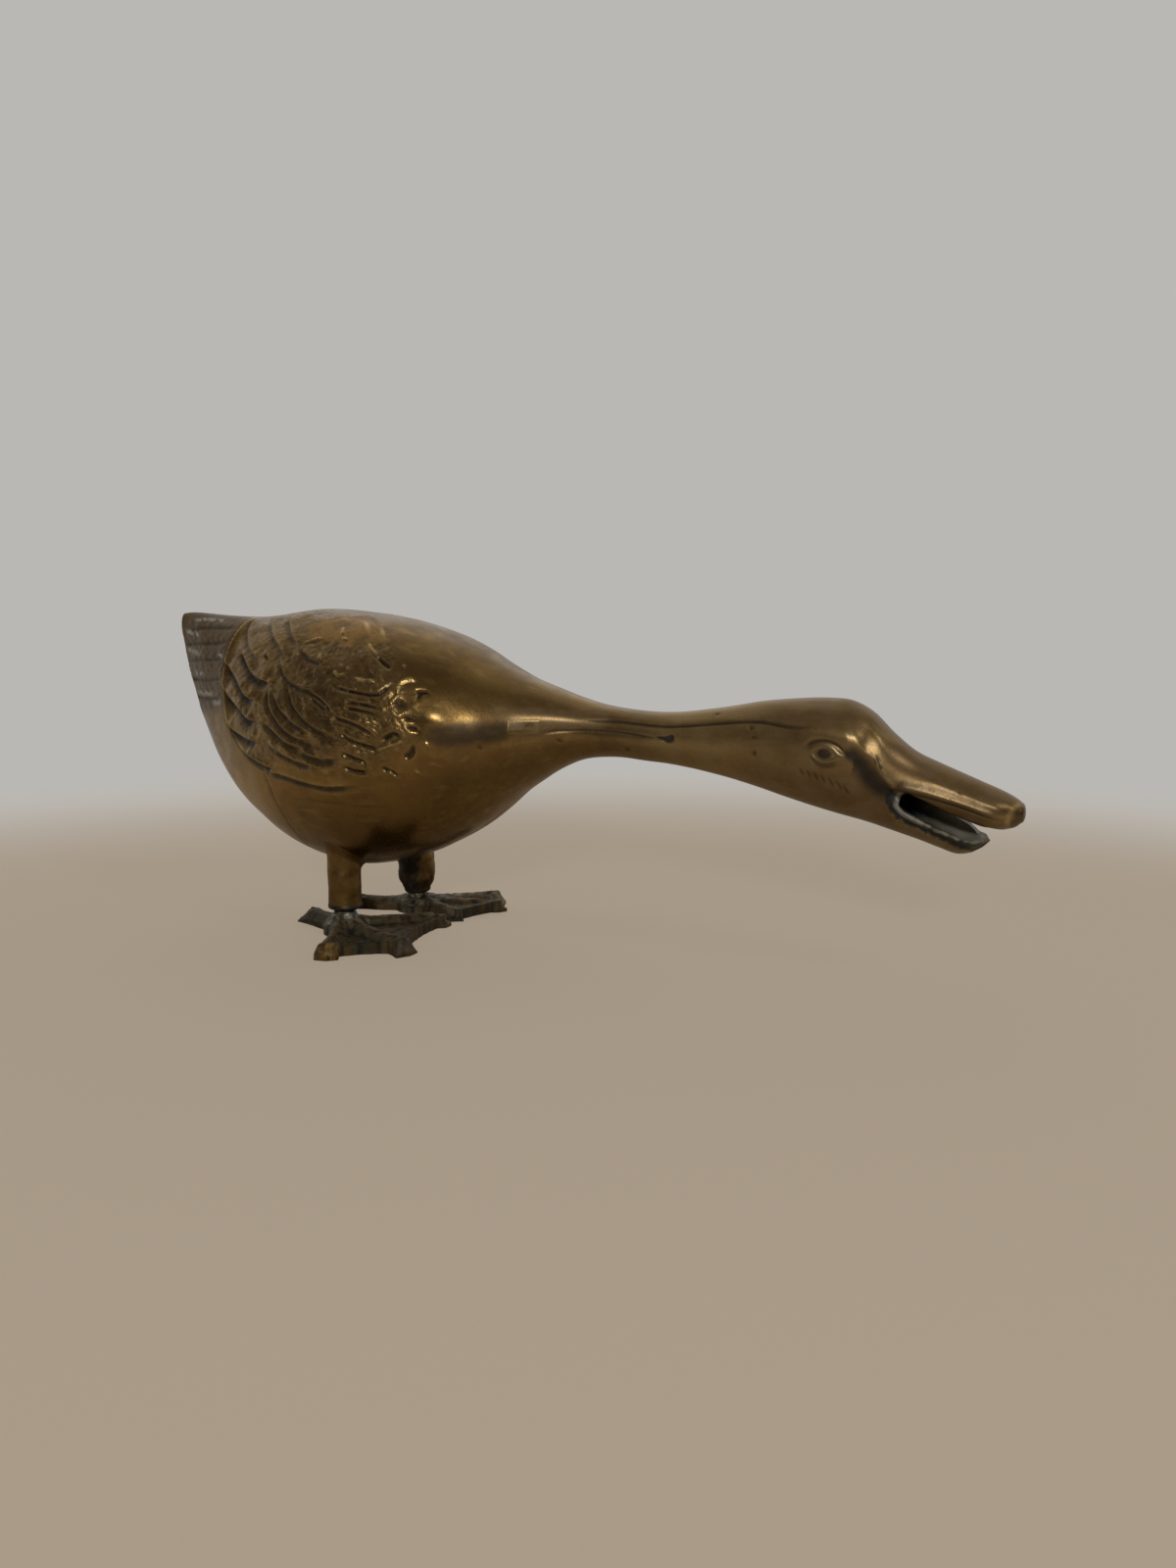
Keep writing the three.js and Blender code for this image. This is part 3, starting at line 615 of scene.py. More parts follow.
def carve_bill(skin, points, side):
    """The bill's chamfered lip and the dark rim of its mouth; returns the distance into the mouth."""
    x, z = skin.x, points[:, 2]
    ragged = Waves(51 + side, 2.6)(points)
    mouth = mouth_distance(x, z, side)
    on_bill = smoothstep(179.5, 184, x)
    over_lip = z - np.interp(x, *smooth_path(LIP_LINE).T)
    under_lip = np.clip(-over_lip, 0, 5)
    upper = on_bill * smoothstep(-0.5, 0.8, z - np.interp(x, *BILL_FLOOR))
    chamfer = upper * smoothstep(212, 204, x)
    edge = on_bill * bell(over_lip - 0.5, 0.7) * smoothstep(216, 212, x)
    crease = chamfer * bell(over_lip + 0.8, 0.5)
    flank = on_bill * bell(over_lip - 3, 2.6) * smoothstep(215, 210, x)
    low_flank = on_bill * bell(over_lip - 1.6, 1.9) * smoothstep(213, 207, x)
    shade = chamfer * smoothstep(0.1, 0.9, under_lip)
    skin.height += 0.08 * edge - 0.62 * chamfer * under_lip - 0.45 * crease
    # A painted highlight along the lip's edge. Painted shade in the crease, on the chamfer below the lip and
    # along the bill's flank.
    skin.paint("wear", ALL, 0.25 * edge)
    skin.paint("patina", ALL, 1.9 * flank)
    for dark in (0.9 * crease, 0.3 * shade, 0.25 * flank, 0.6 * low_flank):
        skin.paint("recess", ALL, dark)

    found, distance, way, _ = near_path(x, z, RIM_PATHS[side], 8.0)
    ragged, near = ragged[found], mouth[found]
    band = smoothstep(-0.25, 0.25, distance * way + 0.3 * ragged) * (1 - upper[found])
    thin = smoothstep(-0.75, -0.35, near + 0.2 * ragged) * smoothstep(-1.4, 0.6, ragged)
    corner = smoothstep(-1.5, -1.0, near) * smoothstep(191, 187, x[found])
    skin.height[found] += band * (0.2 * smoothstep(-1.2, -0.5, near + 0.15 * ragged) - 0.75)
    skin.paint("mouth", found, band)
    skin.paint("recess", found, 0.55 * band * smoothstep(-0.9, -1.6, near))
    skin.paint("pale", found, band * thin)
    skin.paint("chalk", found, 0.55 * band * corner)

    dulled = smoothstep(84, 112, x) * (0.65 + 0.35 * smoothstep(174, 162, x))
    skin.paint("patina", ALL, np.minimum(dulled + 0.35 * smoothstep(40, 70, x), 1))
    return mouth


# Meshes
def quads(a, b, c, d):
    """Two triangles for each four corners."""
    return np.concatenate([np.stack([a, b, c], 1), np.stack([a, c, d], 1)])


def grid_faces(rows, cols, first=0):
    """Triangles of a grid stored ring by ring, facing out on the right side."""
    at = first + np.arange(rows * cols).reshape(rows, cols)
    return quads(at[:-1, :-1].ravel(), at[:-1, 1:].ravel(), at[1:, 1:].ravel(), at[1:, :-1].ravel())


def cut(table, faces, keep):
    """Keeps the faces where keep is positive; returns the table, the faces and the cut's edges."""
    kept = keep > 0
    count = kept[faces].sum(1)
    extra, index, rim = [], {}, []

    def crossing(a, b):
        key = (min(a, b), max(a, b))
        if key not in index:
            share = keep[a] / (keep[a] - keep[b])
            index[key] = len(table) + len(extra)
            extra.append(table[a] + share * (table[b] - table[a]))
        return index[key]

    made = []
    for face in faces[(count == 1) | (count == 2)]:
        odd = kept[face].sum() == 1
        turn = int(np.flatnonzero(kept[face] == odd)[0])
        a, b, c = (int(n) for n in np.roll(face, -turn))
        ab, ac = crossing(a, b), crossing(a, c)
        if odd:
            made.append((a, ab, ac))
            rim.append((ab, ac))
        else:
            made.extend(((ab, b, c), (ab, c, ac)))
            rim.append((ac, ab))
    return np.vstack([table, extra]), np.concatenate([faces[count == 3], made]), rim


def zip_chains(first, first_runs, second, second_runs):
    """Triangles between two chains of points, each in the order of its runs."""
    faces, i, j = [], 0, 0
    while i < len(first) - 1 or j < len(second) - 1:
        if j == len(second) - 1 or (i < len(first) - 1 and first_runs[i + 1] <= second_runs[j + 1]):
            faces.append((first[i], second[j], first[i + 1]))
            i += 1
        else:
            faces.append((first[i], second[j], second[j + 1]))
            j += 1
    return faces


def add_object(name, data):
    made = bpy.data.objects.new(name, data)
    bpy.context.scene.collection.objects.link(made)
    return made


def add_piece(name, node, slot, material, points, faces, masks=None, sharp=60):
    """A mesh object from goose millimetres, which stands for a node and rides on the goose."""
    mesh = bpy.data.meshes.new(name)
    mesh.from_pydata(place(points).tolist(), [], [list(map(int, f)) for f in faces])
    for key, values in (masks or {}).items():
        layer = mesh.attributes.new(key, "FLOAT", "POINT")
        layer.data.foreach_set("value", np.clip(values, 0, 1).astype(np.float32))
    mesh.validate()
    mesh.shade_smooth()
    mesh.set_sharp_from_angle(angle=math.radians(sharp))
    mesh.materials.append(material)
    piece = add_object(name, mesh)
    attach(piece, "root")
    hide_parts(node)


def welded(table, faces):
    """Joins points that fall together, and drops the faces that this flattens and the rows left unused."""
    _, first, joined = np.unique(table[:, :3].round(5), axis=0, return_index=True, return_inverse=True)
    faces = first[joined.ravel()][faces]
    a, b, c = faces.T
    faces = faces[(a != b) & (b != c) & (c != a)]
    used, renumbered = np.unique(faces, return_inverse=True)
    return table[used], renumbered.reshape(faces.shape)


def open_edges(faces):
    """The edges that only one face has, as that face runs along them."""
    edges = np.concatenate([faces[:, (0, 1)], faces[:, (1, 2)], faces[:, (2, 0)]])
    _, first, count = np.unique(np.sort(edges, axis=1), axis=0, return_index=True, return_counts=True)
    return edges[first[count == 1]]


def mid_plane(table, faces):
    """Triangles that close the open edge, which lies on the mid-plane, facing the other half."""
    ids, local = np.unique(open_edges(faces), return_inverse=True)
    flat = [Vector(p) for p in table[ids][:, (0, 2)].tolist()]
    made = delaunay_2d_cdt(flat, local.reshape(-1, 2).tolist(), [], 1, 1e-6)
    filling = np.array([[ids[made[3][n][0]] for n in face] for face in made[2]])
    a, b, c = (table[corner, :3] for corner in filling.T)
    flip = np.cross(b - a, c - a)[:, 1] < 0
    filling[flip] = filling[flip][:, ::-1]
    return filling


def normals_of(points):
    along, down = np.gradient(points, axis=0), np.gradient(points, axis=1)
    normal = np.cross(down, along)
    return normal / np.maximum(np.linalg.norm(normal, axis=2), 1e-9)[..., None]


def capped(points, girth, end_x, first):
    """Adds rings that round off an open end of the half skin."""
    ring = points[0] if first else points[-1]
    middle = ring.mean(0)
    middle[1] = -HALF_SEAM
    extra = []
    for angle in np.radians((20, 40, 58, 74, 90)):
        shrunk = middle + (ring - middle) * [1, math.cos(angle), math.cos(angle)]
        shrunk[:, 0] = ring[0, 0] + (end_x - ring[0, 0]) * math.sin(angle)
        shrunk[(0, -1), 1] = -HALF_SEAM
        extra.append(shrunk)
    rows = girth[0] if first else girth[-1]
    extra_girth = np.tile(rows, (len(extra), 1))
    if first:
        return np.concatenate([np.array(extra[::-1]), points]), np.concatenate([extra_girth, girth])
    return np.concatenate([points, np.array(extra)]), np.concatenate([girth, extra_girth])


# The shoulder's patch is a painted dark reflection.
SHOULDER_DARK_REFLECTION = {RIGHT: 0.72, LEFT: 0.2}  # how dark the shoulder's patch is
RIM_ROUNDING = 0.55


def carved(points, normals, girth, below, side):
    """Moves skin points by the carving; returns them, their paint and their distance into the mouth."""
    skin = Skin(points[:, 0].copy(), girth, None if side == RIGHT else np.random.default_rng(7))
    carve_body(skin, points, 11 + side)
    carve_neck(skin, points, SHOULDER_DARK_REFLECTION[side])
    carve_face(skin)
    mouth = carve_bill(skin, points, side)
    skin.height += 0.16 * Waves(31 + side, 42)(points) + 0.05 * Waves(41 + side, 14)(points)
    skin.height *= smoothstep(0.3, 5, girth) * smoothstep(0, 2.5, below)
    skin.height *= smoothstep(TAIL_X - 0.5, TAIL_X + 5, skin.x) * smoothstep(TIP_X, TIP_X - 2.5, skin.x)
    worn = np.clip(1 + mouth / RIM_ROUNDING, 0, 1)
    skin.height -= RIM_ROUNDING * (1 - np.sqrt(1 - worn**2)) * smoothstep(0, 1, below)
    paint = np.stack([skin.masks[name] for name in MASKS], 1)
    return points + skin.height[:, None] * normals, paint, mouth


REAR_STEPS = ((-83, 0.8), (-57, 0.7), (-53, 0.44), (36, 0.44), (44, 0.9))  # (x, space between rings)
REAR_CROWDING = ((0, 0.5), (14, 0.5), (20, 1), (76, 1), (84, 0.38))  # (girth, density of points)


def outer_skin(side):
    """The carved outside as a table of points and paint, its faces, and the edges of the open bill."""
    rear = rings(columns(TAIL_X + 0.9, CHANGE_X, REAR_STEPS), BODY_ROWS, crowding=REAR_CROWDING)
    front = rings(stretches((CHANGE_X + 0.6, HEAD_X, 0.8), (HEAD_X, TIP_X - 1.2, 0.45)), HEAD_ROWS)
    grids, girths = zip(capped(*rear, TAIL_X, True), capped(*front, TIP_X, False))
    points = np.concatenate([grid.reshape(-1, 3) for grid in grids])
    normals = np.concatenate([normals_of(grid).reshape(-1, 3) for grid in grids])
    girth = np.concatenate([rows.ravel() for rows in girths])
    below = np.concatenate([(rows[:, -1:] - rows).ravel() for rows in girths])
    points, paint, mouth = carved(points, normals, girth, below, side)
    start = girths[0].size
    for grid in (points[:start].reshape(grids[0].shape), points[start:].reshape(grids[1].shape)):
        grid[:, (0, -1), 1] = -HALF_SEAM
    # Two of the body's rows meet one of the head's.
    left = start - (BODY_ROWS + 1) + 2 * np.arange(HEAD_ROWS)
    right = start + np.arange(HEAD_ROWS)
    faces = np.concatenate([
        grid_faces(len(grids[0]), BODY_ROWS + 1),
        np.stack([left, left + 1, right], 1),
        np.stack([left + 1, right + 1, right], 1),
        np.stack([left + 1, left + 2, right + 1], 1),
        grid_faces(len(grids[1]), HEAD_ROWS + 1, start),
    ])
    return cut(np.hstack([points, paint]), faces, -mouth)


def hollow(side):
    """The inside in the same form, narrowed in the bill, where the metal is thicker."""
    xs = stretches((HOLLOW_START, NECK_X, 4.0), (NECK_X, FACE_X, 3.0), (FACE_X, HOLLOW_END, 0.7))
    wall = BODY_WALL + (HEAD_WALL - BODY_WALL) * smoothstep(NECK_X, HEAD_X, xs)
    points = rings(xs, INNER_ROWS, wall)[0].reshape(-1, 3)
    x = points[:, 0]
    lip = np.interp(x, *smooth_path(LIP_LINE).T)
    squeeze = 0.4 * np.clip(lip - 1.5 - points[:, 2], 0, 4) * smoothstep(182, 186, x)
    room = np.maximum(-points[:, 1] - HALF_SEAM, 0)
    points[:, 1] = -HALF_SEAM - np.maximum(room - squeeze, 0.4 * room)
    spots = Waves(55 + side, 4.0)(points)
    masks = {name: np.zeros(len(x)) for name in MASKS}
    # Painted light on the front of the hollow inside the bill, pale then chalk white, and painted shade
    # darkening it towards the throat.
    masks.update(
        mouth=np.ones(len(x)),
        pale=smoothstep(186, 200, x + spots),
        chalk=0.55 * smoothstep(190, 206, x + spots),
        recess=smoothstep(192, 186, x + 0.8 * spots),
    )
    table = np.column_stack([points, *masks.values()])
    faces = [grid_faces(len(xs), INNER_ROWS + 1)[:, ::-1]]
    for first, turn in ((0, 1), (len(points) - INNER_ROWS - 1, -1)):
        ring = np.arange(first, first + INNER_ROWS + 1)
        centre = table[ring].mean(0)
        centre[1] = -HALF_SEAM
        faces.append(np.stack([np.full(INNER_ROWS, len(table)), ring[:-1], ring[1:]], 1)[:, ::turn])
        table = np.vstack([table, centre])
    return cut(table, np.concatenate(faces), -mouth_distance(table[:, 0], table[:, 2], side))


def in_order(table, edges, side):
    """The cut's points from the lower tip of the bill round to the upper one, with their run along it."""
    after = dict(edges)
    chain = list(set(after) - set(after.values()))
    while chain[-1] in after:
        chain.append(after[chain[-1]])
    if table[chain[0], 2] > table[chain[-1], 2]:
        chain.reverse()
    # The outline starts at the front, where it lies outside the bill.
    path = MOUTH_PATHS[side]
    start = int(np.argmax(path[:, 0]))
    step, _, share, distance = project(table[chain][:, (0, 2)], np.vstack([path[start:], path[: start + 1]]))
    best = distance.argmin(1)
    length = np.hypot(*step.T)
    runs = running(length)[best] + share[np.arange(len(chain)), best] * length[best]
    return chain, np.maximum.accumulate(runs)


def half_shell(side):
    """One half of the casting: its outside, its hollow and the rim of the open bill; and its mid-plane."""
    table, faces, rim = outer_skin(side)
    inner_table, inner_faces, inner_rim = hollow(side)
    shift = len(table)
    table = np.vstack([table, inner_table])
    outer_chain = in_order(table, rim, side)
    inner_chain = in_order(table, [(a + shift, b + shift) for a, b in inner_rim], side)
    bridge = np.array(zip_chains(*outer_chain, *inner_chain))
    table, faces = welded(table, np.concatenate([faces, inner_faces + shift, bridge]))
    return table, faces, mid_plane(table, faces)


def seam_strip(points, filling):
    """The seam's metal: the mid-plane's faces, as thick as the seam, and which points they use."""
    used, local = np.unique(filling, return_inverse=True)
    local = local.reshape(filling.shape)
    near, far = points[used], points[used]
    near[:, 1], far[:, 1] = -HALF_SEAM, HALF_SEAM
    a, b = open_edges(local).T
    n = len(used)
    faces = np.concatenate([local[:, ::-1], local + n, quads(b + n, a + n, a, b)])
    return np.vstack([near, far]), faces, used


def block_faces(rows, cols):
    """Faces of a plate: a grid of outer points, then the same grid of inner ones."""
    n = rows * cols
    at = np.arange(n).reshape(rows, cols)
    ring = np.concatenate([at[0, :-1], at[:-1, -1], at[-1, :0:-1], at[:0:-1, 0]])
    after = np.roll(ring, -1)
    outer = grid_faces(rows, cols)
    return np.concatenate([outer, outer[:, ::-1] + n, quads(ring, ring + n, after + n, after)])


PLUG_X, PLUG_Z = (60.2, 69.8), (73.4, 78.0)
SMUDGE_X, SMUDGE_Z = 66.5, 76


def core_plug(side):
    """A thin plate over the core hole, following the carved skin and a hair proud of it."""
    fine = np.linspace(0, np.pi, 1201)
    heights = np.linspace(PLUG_Z[1], PLUG_Z[0], 31)
    points, girths, belows = [], [], []
    for x in np.linspace(*PLUG_X, 61):
        line = section(np.full(fine.shape, x), fine)
        run = running(np.linalg.norm(np.diff(line, axis=0), axis=1))
        girth = np.interp(-heights, -line[:, 2], run)
        points.append(section(np.full(girth.shape, x), np.interp(girth, run, fine)))
        girths.append(girth)
        belows.append(run[-1] - girth)
    points = np.array(points)
    rows, cols = points.shape[:2]
    normals = normals_of(points).reshape(-1, 3)
    moved, paint, _ = carved(points.reshape(-1, 3), normals, np.ravel(girths), np.ravel(belows), side)
    along, down = np.meshgrid(np.linspace(-1, 1, rows), np.linspace(-1, 1, cols), indexing="ij")
    edge = np.minimum((1 - np.abs(along)) * 4.8, (1 - np.abs(down)) * 2.3).ravel()
    dx, dz = moved[:, 0] - SMUDGE_X, moved[:, 2] - SMUDGE_Z
    proud = 0.06 * smoothstep(-0.1, 0.6, edge) - 0.02 - 0.05 * bell(dx, 1.1) * bell(dz, 0.7)
    table = np.vstack([moved + proud[:, None] * normals, moved - 1.6 * normals])
    paint[:, MASKS.index("pale")] = 0.08 * bell(edge, 0.3)
    paint[:, MASKS.index("recess")] = 0.6 * bell(dx, 1.4) * bell(dz, 0.9)
    masks = dict(zip(MASKS, np.vstack([paint, paint]).T))
    masks["green"] = np.full(len(table), 0.3)
    return table, block_faces(rows, cols), masks


# Legs and feet
LEG_RADIUS, PEG_RADIUS = 5.8, 2.75
LEG_FOOT, SOLE_COVER, FOOT_HEIGHT, HUB_RADIUS = 9.0, 1.2, 5.2, 7.85
HUBS = {RIGHT: np.array([-4.0, -17.8]), LEFT: np.array([4.0, 17.8])}
FOOT_TURN = {RIGHT: -24, LEFT: 15}
# A leg's lower end, radius, how far it draws in at its lower end, dents and grain
LEG_FORMS = {
    RIGHT: (LEG_FOOT, LEG_RADIUS, 0.0, 0.10, 0.03),
    LEFT: (LEG_FOOT - 2.2, LEG_RADIUS + 0.9, 2.3, 0.28, 0.10),
}
# Outer, middle, inner and hind toe: degrees from the middle one, length, and how blunt the end is
TOES = {
    RIGHT: ((-45, 32.5, 1.0), (0, 38.0, 1.0), (58, 37.0, 0.4), (184, 25.5, 0.7)),
    LEFT: ((18, 33.5, 1.0), (0, 34.5, 0.0), (-36, 26.0, 0.2), (180, 28.0, 0.7)),
}
TOE_RIDGE = {RIGHT: 5.7, LEFT: 5.2}
WEB_DIPS = {RIGHT: (5.0, 6.0), LEFT: (5.0, 2.0)}
FOOT_STEP = 0.4  # between the points of a foot's grid
SOLDER_HEIGHT = {RIGHT: 3.0, LEFT: 1.8}


def underside(x, y):
    """Height of the belly's skin over a point of the ground."""
    top, bottom, half = top_at(x), bottom_at(x), half_width_at(x)
    share = np.minimum(np.abs(y) / half, 1)
    return (top + bottom) / 2 - (top - bottom) / 2 * (1 - share**FULLNESS) ** (1 / FULLNESS)


def turned(profile, steps, centre, shape):
    """A closed solid turned from (radius, height) points that start and end on the axis, then shaped."""
    angles = np.linspace(0, 2 * np.pi, steps, endpoint=False)
    radius, height = np.array(profile, float)[1:-1].T
    x = radius[:, None] * np.cos(angles)
    y = radius[:, None] * np.sin(angles)
    z = np.broadcast_to(height[:, None], x.shape)
    points = shape(np.stack([x, y, z], -1).reshape(-1, 3))
    ends = np.array([[0, 0, profile[0][1]], [0, 0, profile[-1][1]]], float)
    at = np.arange(x.size).reshape(x.shape)
    after = np.roll(at, -1, axis=1)
    faces = np.concatenate([
        quads(at[:-1].ravel(), after[:-1].ravel(), after[1:].ravel(), at[1:].ravel()),
        np.stack([np.full(steps, x.size), after[0], at[0]], 1),
        np.stack([np.full(steps, x.size + 1), at[-1], after[-1]], 1),
    ])
    return np.vstack([points, ends]) + [*centre, 0], faces


def leg_post(side):
    """A leg: a post up into the belly, with a narrower peg down into the foot. The left one is lumpy."""
    x, y = HUBS[side]
    around = np.linspace(0, 2 * np.pi, 24)
    top = underside(x + LEG_RADIUS * np.cos(around), y + LEG_RADIUS * np.sin(around)).max() + 0.6
    dent, pits = Waves(61 + side, 8.0), Waves(71 + side, 1.7)
    foot, radius, drawn_in, dents, grain = LEG_FORMS[side]

    def shape(points):
        post = smoothstep(foot - 0.15, foot - 0.05, points[:, 2])
        low = 1 - smoothstep(foot + 0.5, foot + 6.0, points[:, 2])
        change = post * (dents * dent(points) + grain * pits(points) - low * drawn_in)
        return points * np.stack([1 + change / radius, 1 + change / radius, np.ones(len(points))], 1)

    profile = [(0, SOLE_COVER), (PEG_RADIUS - 0.4, SOLE_COVER), (PEG_RADIUS, SOLE_COVER + 0.4)]
    profile += [(PEG_RADIUS, z) for z in np.linspace(3, foot - 0.1, 8)]
    profile += [(PEG_RADIUS + 0.3, foot), (radius - 0.9, foot), (radius - 0.1, foot + 0.25),
                (radius + 0.15, foot + 0.7), (radius + 0.12, foot + 1.2)]
    profile += [(radius - 0.06, z) for z in np.linspace(foot + 1.6, top, 34)]
    profile += [(radius - 1.0, top + 0.4), (0, top + 0.4)]
    points, faces = turned(profile, 72, (x, y), shape)
    blotch = Waves(81 + side, 5.0)(points)
    dark = 1 - smoothstep(foot + 1.0, foot + 2.6, points[:, 2] + 0.35 * blotch)
    if side == LEFT:
        across = 0.93 * (points[:, 0] - x) + 0.37 * (points[:, 1] - y)
        dark = np.maximum(dark, smoothstep(3.0, 0.6, across + 0.9 * blotch))
    return points, faces, {"recess": dark}


def leg_bead(side):
    """The brazed fillet between a leg and the belly: hollow in section, following the skin."""
    x, y = HUBS[side]
    steps, rows, width = 96, 14, 3.0
    angles = np.linspace(0, 2 * np.pi, steps, endpoint=False)
    reach = width * (1 + 0.10 * np.sin(2 * angles + side) + 0.06 * np.sin(5 * angles + 2 * side))
    share = np.linspace(0, np.pi / 2, rows)[:, None]
    radius = LEG_RADIUS - 0.05 + reach * (1 - np.cos(share))
    belly = underside(x + radius * np.cos(angles), y + radius * np.sin(angles))
    height = belly - reach * (1 - np.sin(share)) + 0.45 * np.sin(share) ** 3
    # Two hidden lines, in the belly and in the leg, close the ring.
    radius = np.vstack([radius, radius[-1:] - 0.8, np.full((1, steps), LEG_RADIUS - 0.8)])
    height = np.vstack([height, height[-1:] + 0.9, height[:1] + 0.5])
    points = np.stack([x + radius * np.cos(angles), y + radius * np.sin(angles), height], -1).reshape(-1, 3)
    at = np.arange(radius.size).reshape(radius.shape)
    after, above = np.roll(at, -1, axis=1), np.roll(at, -1, axis=0)
    return points, quads(*(n.ravel() for n in (at, after, np.roll(after, -1, axis=0), above)))


def web_outline(side):
    """The web from the hub, along the outer toe, with a scalloped front, back along the inner toe."""
    tips = [np.array(heading(angle)) * (length - 2.6) for angle, length, _ in TOES[side][:3]]
    line = [np.array([0, side * HUB_RADIUS / 2]), tips[0]]
    for a, b, depth in zip(tips, tips[1:], WEB_DIPS[side]):
        between = (a + b) / 2
        dip = between * (1 - depth / np.linalg.norm(between))
        line += [a * (1 - t) ** 2 + 2 * dip * t * (1 - t) + b * t**2 for t in np.linspace(0, 1, 9)[1:]]
    line.append(np.array([0, -side * HUB_RADIUS / 2]))
    return np.array(line)


def toe(x, y, wander, ridge, angle, length, blunt):
    """A toe over the foot's grid: the distance into it, its height, and where its crest and tip are."""
    hind = angle > 90
    c, s = heading(angle)
    along = x * c + y * s
    across = y * c - x * s + 0.2 * wander
    share = np.clip(along / length, 0, 1)
    flare = bell(along - length, 6)
    half = 3.5 - (1.4 - 1.1 * blunt) * share**2 + 0.9 * blunt * flare + 0.5 * hind
    slant = length - (1.1 - 0.8 * blunt) * np.abs(across)
    within = np.minimum(half - np.abs(across), np.minimum(slant - along, along + 1))
    ridge = ridge - 0.8 * np.sin(math.pi * share) + 0.1 * flare
    ribs = 0.2 * np.cos(2 * math.pi * across / 2.3) * smoothstep(length - 11, length - 5, along)
    end = np.clip((slant + 0.5 - along) / (11 - 7.6 * blunt), 0.3, 1)
    height = (ridge * (1 - 0.5 * np.clip(np.abs(across) / half, 0, 1) ** 2.2) + ribs) * end
    crest = bell(across, 1.6) * (within > 0)
    tip = smoothstep(length - 7.0, length - 2.5, along) * (within > -0.6)
    return within, np.where(within > -0.6, height, 0), crest, tip


def webbed_foot(side):
    """A cast foot: ridged toes with blunt ribbed ends, a thin web between three, and a flat sole."""
    xs, ys = np.arange(-31, 41, FOOT_STEP), np.arange(-33, 36, FOOT_STEP)
    x, y = (grid.ravel() for grid in np.meshgrid(xs, ys, indexing="ij"))
    flat = np.stack([x, y, np.zeros(len(x))], 1)
    wander, lumps, pits = (
        Waves(seed + side, size)(flat) for seed, size in ((91, 7.0), (101, 3.2), (111, 1.5))
    )
    toes = [toe(x, y, wander, TOE_RIDGE[side], *row) for row in TOES[side]]
    within, heights, crests, tips = zip(*toes)
    web = inside(x, y, web_outline(side))
    rim = bell(np.maximum(web, 0), 1.5)
    reach = np.hypot(x, y)
    hub = HUB_RADIUS - reach
    layers = np.array([
        *heights,
        np.where(web > -0.6, 3.2 + 1.1 * rim - 0.6 * smoothstep(2, 7, web), 0),
        np.where(hub > -0.6, FOOT_HEIGHT - 0.15 - 1.6 * smoothstep(3.0, -0.5, hub), 0),
    ])
    edge = np.max([*within, web, hub], axis=0) + 0.1 * lumps
    height = (layers**6).sum(0) ** (1 / 6)
    height += 0.09 * lumps + 0.05 * pits - 0.5 * smoothstep(0.9, 0.0, edge)
    height = np.clip(height, 0.5, FOOT_HEIGHT + 0.9)
    valley = smoothstep(0.2, -1.3, lumps + 0.5 * pits)
    wear = 0.6 * np.max(crests, axis=0) * smoothstep(-0.5, 1.2, lumps + wander)
    pale = 0.85 * smoothstep(12, 7, reach + 1.5 * wander) * smoothstep(-0.8, 0.6, lumps + wander)
    gold = np.zeros(len(x))
    if side == RIGHT:
        gold = tips[0]
    else:
        pale = np.maximum(pale, tips[0])

    table = np.stack([x, y, height, valley, wear, gold, pale], 1)
    table, faces, rim_edges = cut(table, grid_faces(len(xs), len(ys))[:, ::-1], edge)
    used = np.unique(faces)
    n = len(used)
    renumbered = np.full(len(table), -1)
    renumbered[used] = np.arange(n)
    faces = renumbered[faces]
    a, b = renumbered[np.array(rim_edges)].T
    table = np.vstack([table[used], table[used]])
    table[n:, 2] = 0
    c, s = heading(FOOT_TURN[side])
    points = np.column_stack([HUBS[side] + table[:, :2] @ [[c, s], [-s, c]], table[:, 2]])
    faces = np.concatenate([faces, faces[:, ::-1] + n, quads(b, a, a + n, b + n)])
    return points, faces, dict(zip(("recess", "wear", "gold", "pale"), table[:, 3:].T))


def solder_collar(side):
    """A lumpy collar of solder that runs from the peg out over the foot's hub."""
    lumps, fine = Waves(121 + side, 5.0), Waves(131 + side, 1.8)

    def shape(points):
        outer = smoothstep(PEG_RADIUS, PEG_RADIUS + 1.0, np.hypot(points[:, 0], points[:, 1]))
        swell = outer * (0.12 * lumps(points) + 0.02 * fine(points))
        lift = outer * 0.35 * lumps(points[:, ::-1])
        return points * (1 + np.stack([swell, swell, 0 * swell], 1)) + np.stack([0 * lift, 0 * lift, lift], 1)

    rim, tall = 4.1, SOLDER_HEIGHT[side]
    profile = [(0, rim - 0.9), (6.3, rim - 0.9), (6.9, rim - 0.5), (6.8, rim - 0.1)]
    for t in np.linspace(0.1, 1.45, 12):
        profile.append((3.7 + 2.95 * (1 - math.sin(t)), rim + (0.9 + tall) * (1 - math.cos(t))))
    profile += [(3.4, 5.05 + tall), (2.9, 5.15 + tall), (2.4, 4.9 + tall), (0, 4.8 + tall)]
    return turned(profile, 64, HUBS[side], shape)


